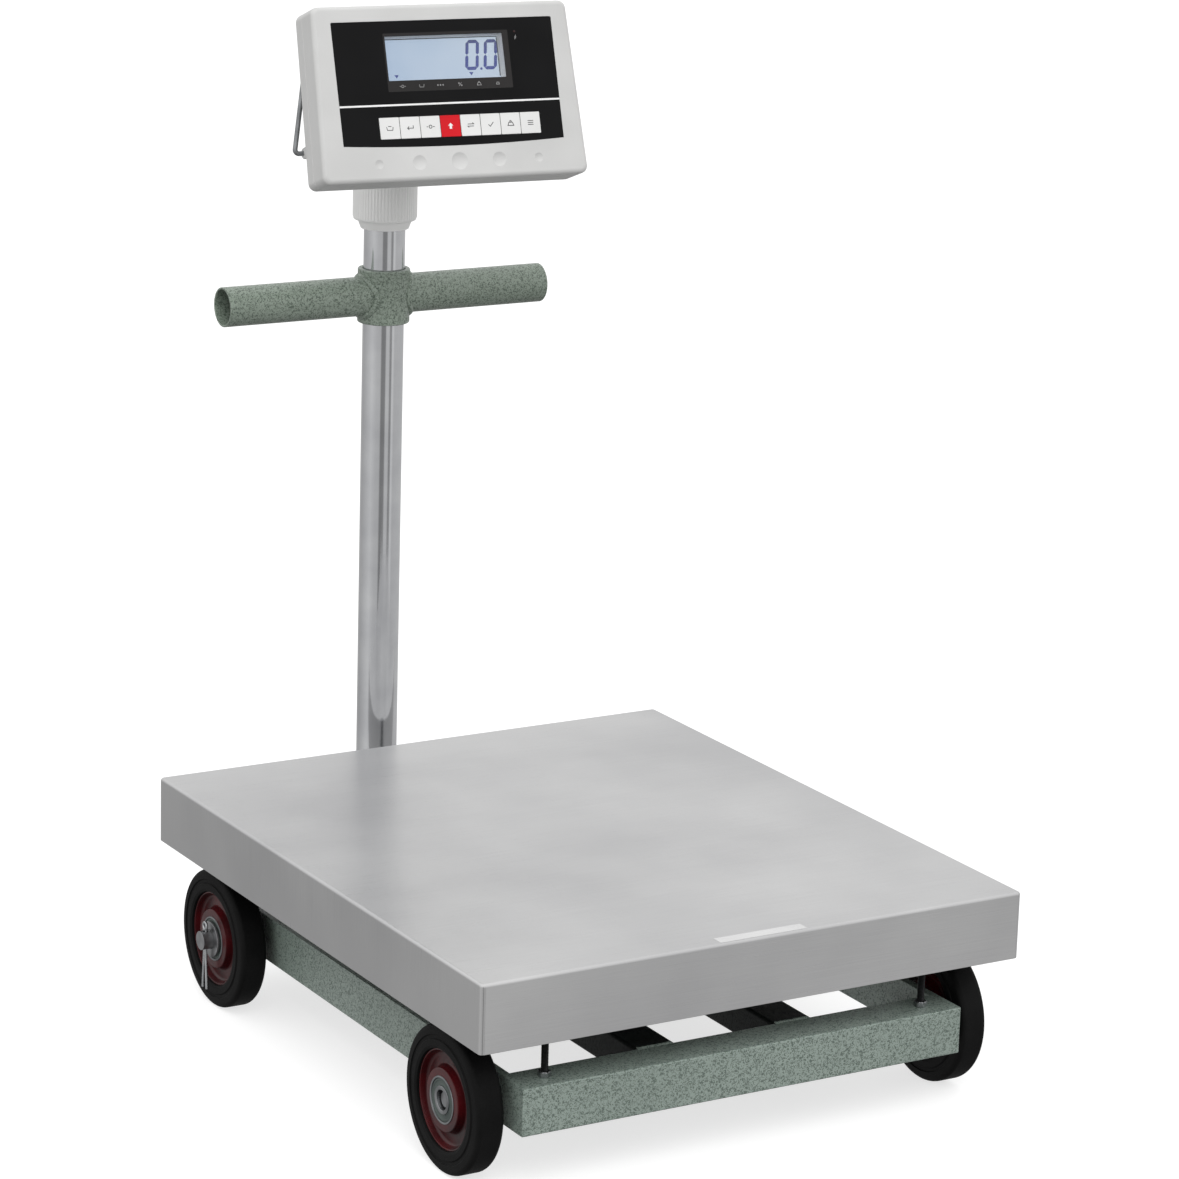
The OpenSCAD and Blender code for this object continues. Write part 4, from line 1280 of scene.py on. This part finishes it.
def rear_shell():
    """Rear half of the housing, with the bulge that holds the battery."""
    lo, hi = box("rear_shell", HEAD)
    rings = [at_depth(outline(PARTING_CHAMFER), lo.y), at_depth(outline(), lo.y + PARTING_CHAMFER)]
    rings += [at_depth(outline(inset), BACK - drop) for inset, drop in edge_arc(BACK_EDGE, 6)[::-1]]
    cavity = skin([at_depth(outline(inset), y) for inset, y in (
        (SHELL_WALL, lo.y), (SHELL_WALL, BACK - BACK_EDGE), (SHELL_WALL + 3, BACK - SHELL_WALL))])
    low, high = BULGE_Z
    side = BULGE_X - SHELL_WALL
    pocket = bar(Vector((-side, POCKET_Y, low + SHELL_WALL)),
                 Vector((side, hi.y - SHELL_WALL, high - SHELL_WALL)), 1, POCKET_R)
    rocker = sum(box("power_rocker", HEAD), Vector()) / 2
    wide, tall = ROCKER_HOLE
    y0, y1 = ROCKER_HOLE_Y
    hole = bar(Vector((rocker.x - wide, y0, rocker.z - tall)),
               Vector((rocker.x + wide, y1, rocker.z + tall)), 1, 0.8)
    socket = sum(box("power_socket", HEAD), Vector()) / 2
    round_hole = revolve(SOCKET_HOLE, (socket.x, hi.y, socket.z), Y_AXIS, 48)
    part = carved(skin(rings), [cavity, pocket, hole, round_hole], [bulge(hi.y)] + stand_bosses())
    piece("rear_shell_moulded", part, "pale_plastic", "indicator", ["rear_shell"], HEAD)


def printed(name, part, finish, slot="key_white", body="indicator"):
    """A printed sign or line, in the indicator's frame."""
    piece(name, part, slot, body, place=HEAD, finish=finish)


def overlay():
    """Black printed film with its openings, and its strips between the keys."""
    film = prism(overlay_outline(), 0.0, OVERLAY_T)
    part = carved(film, [window_cut(-PAST, 2 * PAST), key_cut(-PAST, 2 * PAST)])
    piece("overlay_film_sheet", part, "overlay_film", "indicator", ["overlay"], HEAD)
    strips = []
    for i in range(1, 8):
        here_lo, here_hi = box(f"key_{i}", HEAD)
        x0 = here_hi.x + KEY_BAR_GAP
        x1 = box(f"key_{i + 1}", HEAD)[0].x - KEY_BAR_GAP
        strip = [(x1, here_hi.z), (x0, here_hi.z), (x0, here_lo.z), (x1, here_lo.z)]
        strips.append(prism(strip, 0.0, OVERLAY_T))
    printed("overlay_key_bars", strips, "overlay_film", "overlay_film")


PRINT_T = 0.06
PRINT_SUNK = 0.2
SEPARATOR_Z = -10.8
SEPARATOR_W = 1.6
SURROUND = (-57.5, 61.5, 0.8, 52.2)
LAMP_SPOT = (68.2, 50.4)
SIGN_SIZE = 1.5
SIGN_LINE = 0.45
SIGN_Z = 5.4
DOTS_X = (-10.4, -7.9, -5.4)
DOT_R = 0.7
# the small signs on the film: where, a line's points on a unit grid, and whether it closes
SIGNS = [
    (-43.7, SIGN_Z, disc(0, 0, 0.75, 16), True),  # zero: a ring between two ticks
    (-43.7, SIGN_Z, [(-1.9, 0), (-1.1, 0)], False),
    (-43.7, SIGN_Z, [(1.9, 0), (1.1, 0)], False),
    (-25.7, SIGN_Z, [(-1.5, 0.8), (-1.2, -0.8), (1.2, -0.8), (1.5, 0.8)], False),  # tray
    (11.0, SIGN_Z, [(-0.8, -1.0), (0.8, 1.0)], False),  # share: a slash between two dots
    (11.0, SIGN_Z, disc(0.8, -0.6, 0.35, 12), True),
    (11.0, SIGN_Z, disc(-0.8, 0.6, 0.35, 12), True),
    (29.1, SIGN_Z, [(-1.3, -0.9), (-0.8, 0.5), (0.8, 0.5), (1.3, -0.9)], True),  # weight
    (29.1, SIGN_Z, disc(0, 0.85, 0.35, 12), True),
    (47.1, SIGN_Z, [(-0.9, -0.8), (-0.6, 0.4), (0.6, 0.4), (0.9, -0.8)], True),  # small weight
    (68.6, 45.4, [(0.5, 1.2), (-0.5, -0.1), (0.4, 0.1), (-0.5, -1.2)], False),  # mains
]
# the lines of each key's sign in the same way; key 4 has an arrow
RED_KEY = 4
ICONS = {
    1: [([(-1.6, 0.6), (-1.3, -0.9), (1.3, -0.9), (1.6, 0.6)], False), ([(-0.8, 0.9), (0.8, 0.9)], False)],
    2: [([(1.5, 1.0), (1.5, -0.3), (-1.3, -0.3)], False),
        ([(-0.6, 0.5), (-1.4, -0.3), (-0.6, -1.1)], False)],
    3: [([(-2.0, 0), (-1.2, 0)], False), ([(1.2, 0), (2.0, 0)], False), (disc(0, 0, 0.72, 24), True)],
    5: [([(-1.5, 0.5), (1.5, 0.5), (0.9, 1.1)], False),
        ([(1.5, -0.5), (-1.5, -0.5), (-0.9, -1.1)], False)],
    6: [([(-1.2, -0.1), (-0.3, -1.0), (1.4, 1.0)], False)],
    7: [([(-1.5, -1.0), (-0.9, 0.5), (0.9, 0.5), (1.5, -1.0)], True), (disc(0, 0.95, 0.4, 16), True)],
    8: [([(-1.4, k), (1.4, k)], False) for k in (-0.9, 0.0, 0.9)],
}
ARROW = [(0, 2.6), (-2.5, 0.2), (-1.1, 0.2), (-1.1, -2.6), (1.1, -2.6), (1.1, 0.2), (2.5, 0.2)]
ICON_SIZE = 1.9
ICON_LINE = 0.62
ICON_T = 0.1


def drawn(points, x, z, size, width, closed, front):
    """A printed line of a sign, from points on a unit grid at (x, z)."""
    return ribbon([(x + p[0] * size, z + p[1] * size) for p in points], width, front, front + ICON_T, closed)


def overlay_prints():
    """What is printed on the film: separator line, display surround, signs and lamp."""
    lo, hi = box("overlay", HEAD)
    high = SEPARATOR_Z + SEPARATOR_W / 2
    low = SEPARATOR_Z - SEPARATOR_W / 2
    line = prism([(hi.x, high), (lo.x, high), (lo.x, low), (hi.x, low)], -PRINT_T, PRINT_SUNK)
    printed("print_line", line, "print_white")
    surround = prism(rounded_rect(*SURROUND, 0.8, 3), -PRINT_T, PRINT_SUNK)
    printed("print_surround", carved(surround, [window_cut(-PAST, PAST)]), "overlay_grey", "overlay_film")
    front = -2 * PRINT_T
    marks = [drawn(points, x, z, SIGN_SIZE, SIGN_LINE, closed, front) for x, z, points, closed in SIGNS]
    marks += [prism(disc(x, SIGN_Z, DOT_R, 16), front, 0.0) for x in DOTS_X]
    printed("print_marks", marks, "print_grey")
    printed("status_lamp", dome(*LAMP_SPOT, 0.0, 1.1, 0.5), "lens_dark", "overlay_film")


def keys():
    """Eight keys with simple signs on them."""
    for i in range(1, 9):
        lo, hi = box(f"key_{i}", HEAD)
        slot = "key_red" if i == RED_KEY else "key_white"
        part = prism(rounded_rect(lo.x, hi.x, lo.z, hi.z, 0.7, 4), lo.y, hi.y, 0.25)
        piece(f"key_cap_{i}", part, slot, f"button_{i}", [f"key_{i}"], HEAD)
        x = (lo.x + hi.x) / 2
        z = (lo.z + hi.z) / 2
        front = lo.y - PRINT_T
        if i == RED_KEY:
            mark = prism([(x + p[0], z + p[1]) for p in ARROW], front, front + ICON_T)
        else:
            mark = [drawn(points, x, z, ICON_SIZE, ICON_LINE, closed, front) for points, closed in ICONS[i]]
        printed(f"key_mark_{i}", mark, "print_white" if i == RED_KEY else "print_black", slot, f"button_{i}")


DIGIT_W = 13.0
DIGIT_H = 26.8
DIGIT_LEAN = 0.13
DIGIT_STROKE = 3.0
DIGIT_X = (22.0, 39.7)
DIGIT_Z = 19.4
SEGMENT_GAP = 0.1
INK_GAP = 0.12
POINT = (-1.9, 1.0, 1.15)
POINTERS = ((-43.7, 15.9), (27.7, 16.3))
POINTER = ((-2.1, 1.4), (0.0, -1.6), (2.1, 1.4))


def segment(p, q, width):
    """One bar of a digit: a long hexagon from p to q."""
    a, b = Vector(p), Vector(q)
    d = (b - a).normalized()
    n = Vector((-d.y, d.x))
    h = width / 2
    a = a + d * SEGMENT_GAP
    b = b - d * SEGMENT_GAP
    return [a, a + d * h + n * h, b - d * h + n * h, b, b - d * h - n * h, a + d * h - n * h]


def digit_shapes():
    """Outlines of two digits that read zero, the point and two pointers."""
    s = DIGIT_STROKE / 2
    left, right, low, mid, high = s, DIGIT_W - s, s, DIGIT_H / 2, DIGIT_H - s
    bars = [((left, high), (right, high)), ((left, low), (right, low))]
    bars += [((x, a), (x, b)) for x in (left, right) for a, b in ((low, mid), (mid, high))]
    shapes = []
    for x0 in DIGIT_X:
        for p, q in bars:
            points = segment(p, q, DIGIT_STROKE)
            shapes.append([(x0 + v.x + DIGIT_LEAN * v.y, DIGIT_Z + v.y) for v in points])
    shapes.append(disc(DIGIT_X[1] + POINT[0], DIGIT_Z + POINT[1], POINT[2], 20))
    return shapes + [[(x + p[0], z + p[1]) for p in POINTER] for x, z in POINTERS]


def display():
    """Display panel behind its window, with two digits, a point and two pointers."""
    lo, hi = box("lcd_panel", HEAD)
    panel = prism(rounded_rect(lo.x, hi.x, lo.z, hi.z, 0.8, 3), lo.y, hi.y, 0.3)
    piece("lcd_panel_lit", panel, "lcd_glass", "indicator", ["lcd_panel"], HEAD)
    front = lo.y - INK_GAP
    back = front + ICON_T
    printed("lcd_digits", [prism(shape, front, back) for shape in digit_shapes()], "lcd_ink", "lcd_glass")
    lo, hi = box("lcd_window", HEAD)
    x, z = hi.x - 0.7, hi.z - 0.8
    printed("lcd_border", ribbon([(x, lo.z + 3.0), (x, z), (lo.x, z)], 1.0, front, back),
            "overlay_film", "overlay_film")


# how far inside its widest point the stand's wire starts, has its shoulder (and how far under the
# top), and reaches the crossbar; and the rounding of its bends
STAND_IN = 20.0
STAND_SHOULDER = (16.0, 10.0)
STAND_TOP_IN = 28.0
STAND_BENDS = [0, 3.2, 14.0, 7.0]


def wire_stand():
    """Bent wire stand, folded up behind the housing."""
    lo, hi = box("bail", HEAD)
    _, y, low = joint_spot("stand_swing", HEAD)
    radius = (hi.y - lo.y) / 2
    out = hi.x - radius
    top = hi.z - radius
    shoulder = (out - STAND_SHOULDER[0], y, top - STAND_SHOULDER[1])
    half = [(out - STAND_IN, y, low), (out, y, low), shoulder, (out - STAND_TOP_IN, y, top)]
    path = half + [(-p[0], p[1], p[2]) for p in half[::-1]]
    part = sweep(fillet(path, STAND_BENDS + STAND_BENDS[::-1], 8, closed=False), radius, 20)
    piece("wire_stand_bent", part, "bright_steel", "stand_wire", ["bail"], HEAD, "dull_steel")


# CAD nodes that keep their own shape: slot, width and steps of their rounded edges, and look
DRESSED = {
    "column_bracket": ("hammered_paint", 1.2),
    # the cell plates take the dark copy of the frame paint: painted shade under the deck
    "cell_plate_lower": ("hammered_paint", 1.0, 2, "hammered_dark"),
    "cell_plate_upper": ("hammered_paint", 1.0, 2, "hammered_dark"),
    "load_cell": ("cell_alloy", 0.5),
    "frame_bolts": ("bright_steel", 0.5),
    "deck_bolts": ("bright_steel", 0.5),
    "deck_pads": ("pad_rubber", 1.0),
    "axle_rear": ("axle_steel", 0.9, 1),
    "swivel_head": ("pale_plastic", 1.6, 3),
    "tilt_bolt": ("bright_steel", 0.6),
    "tilt_lug": ("pale_plastic", 1.4, 3),
    "lcd_window": ("window_clear", 0.1, 1),
    "circuit_board": ("board_laminate", 0.2),
    "battery": ("battery_case", 1.5, 3),
    "case_screws": ("bright_steel", 0.4),
    "power_socket": ("black_plastic", 0.4),
    "power_rocker": ("black_plastic", 0.6),
}


# ---------- stage ----------

FLOOR_HALF = 30.0
FLOOR_T = 0.02
FLOOR_GLOW = 0.70
FLOOR_WHITE = 0.41
# the sky's brightness by height, from straight down to straight up
SKY_LEVELS = (
    (-1.0, 0.16), (-0.7, 0.36), (-0.5, 0.48), (-0.32, 0.58),
    (0.0, 0.66), (0.15, 0.86), (0.4, 1.0), (1.0, 1.2),
)
# its brightness by angle round the horizon, in degrees from BAND_MIDDLE
BAND_MIDDLE = -117.8
BANDS = (
    (-180, 0.95), (-128, 0.80), (-100, 0.95), (-60, 1.2), (-32, 1.0), (-10, 0.95),
    (-6, 0.45), (15, 0.45), (20, 1.05), (37, 1.05), (41, 0.55), (50, 0.55),
    (55, 1.25), (61, 1.2), (70, 0.95), (110, 1.0), (135, 1.0), (180, 0.95),
)
BAND_TOP = 0.35
LAMP_PLACE = (-1.4, -2.9, 3.4)
LAMP_AIM = (0, 0, 0.4)
LAMP_SIZE = 2.6
LAMP_POWER = 70.0
WHITE = (1.0, 1.0, 1.0, 1.0)


def floor():
    """Pale light table: it shows only to the camera, and takes the object's soft shadow."""
    far = FLOOR_HALF
    corners = ((-far, -far), (far, -far), (far, far), (-far, far))
    mesh = mesh_of("floor", skin([[(*corner, z) for corner in corners] for z in (-FLOOR_T, 0.0)]))
    f = Finish("floor_white")
    f.shade(
        Base_Color=f.span(f.noise(0.6, 2.0), 0.3, 0.7, FLOOR_WHITE, FLOOR_WHITE + 0.02),
        Roughness=0.8,
        Specular_IOR_Level=0.0,
        Emission_Color=WHITE,
        Emission_Strength=FLOOR_GLOW,
    )
    mesh.materials.append(f.material)
    obj = in_scene("floor", mesh)
    obj.visible_diffuse = False
    obj.visible_glossy = False


def studio():
    """Soft sky that darkens towards the ground, with darker strips for the polished parts."""
    world = bpy.data.worlds.new("studio")
    world.use_nodes = True
    g = Graph(world.node_tree)
    split = g.add("SeparateXYZ", g.add("TexCoord").outputs["Generated"])
    x, y, z = split.outputs
    height = g.math("MULTIPLY_ADD", z, 0.5, 0.5)
    sky = g.ramp(height, [((place + 1) / 2, level) for place, level in SKY_LEVELS])
    turned = g.math("SUBTRACT", g.math("ARCTAN2", y, x), math.radians(BAND_MIDDLE))
    share = g.math("FRACT", g.math("MULTIPLY_ADD", turned, 0.5 / math.pi, 0.5))
    strips = g.ramp(share, [((angle + 180) / 360, level) for angle, level in BANDS])
    low = g.span(z, 0.0, BAND_TOP, 1.0, 0.0)
    light = g.blend(1.0, sky, g.blend(low, WHITE, strips), "MULTIPLY")
    g.put(g.nodes["Background"].inputs["Color"], light)
    bpy.context.scene.world = world


def softbox():
    """Large soft lamp above and to the left of the front."""
    lamp = bpy.data.lights.new("softbox", "AREA")
    lamp.shape = "DISK"
    lamp.size = LAMP_SIZE
    lamp.energy = LAMP_POWER
    holder = in_scene("softbox", lamp)
    holder.location = LAMP_PLACE
    holder.rotation_euler = (Vector(LAMP_PLACE) - Vector(LAMP_AIM)).to_track_quat("Z", "Y").to_euler()
    holder.visible_glossy = False


def camera():
    """Camera at the product's three-quarter view."""
    data = bpy.data.cameras.new("camera")
    data.lens = CAMERA_LENS
    data.sensor_width = CAMERA_SENSOR
    data.clip_end = 200.0
    obj = in_scene("camera", data)
    obj.location = CAMERA_PLACE
    obj.rotation_euler = [math.radians(a) for a in CAMERA_TURN]
    bpy.context.scene.camera = obj
    bpy.context.scene.view_settings.view_transform = "Standard"


camera()
floor()
studio()
softbox()
deck_cover()
deck_label()
deck_frame()
base_ring()
base_bars()
bracket_welds()
overload_stops()
axle_front()
for end in ENDS:
    for side in SIDES:
        wheel(end, side)
axle_parts()
column_tube()
handle()
column_ferrule()
lock_collar()
front_shell()
rear_shell()
overlay()
overlay_prints()
keys()
display()
wire_stand()
for node, settings in DRESSED.items():
    dress(node, *settings)
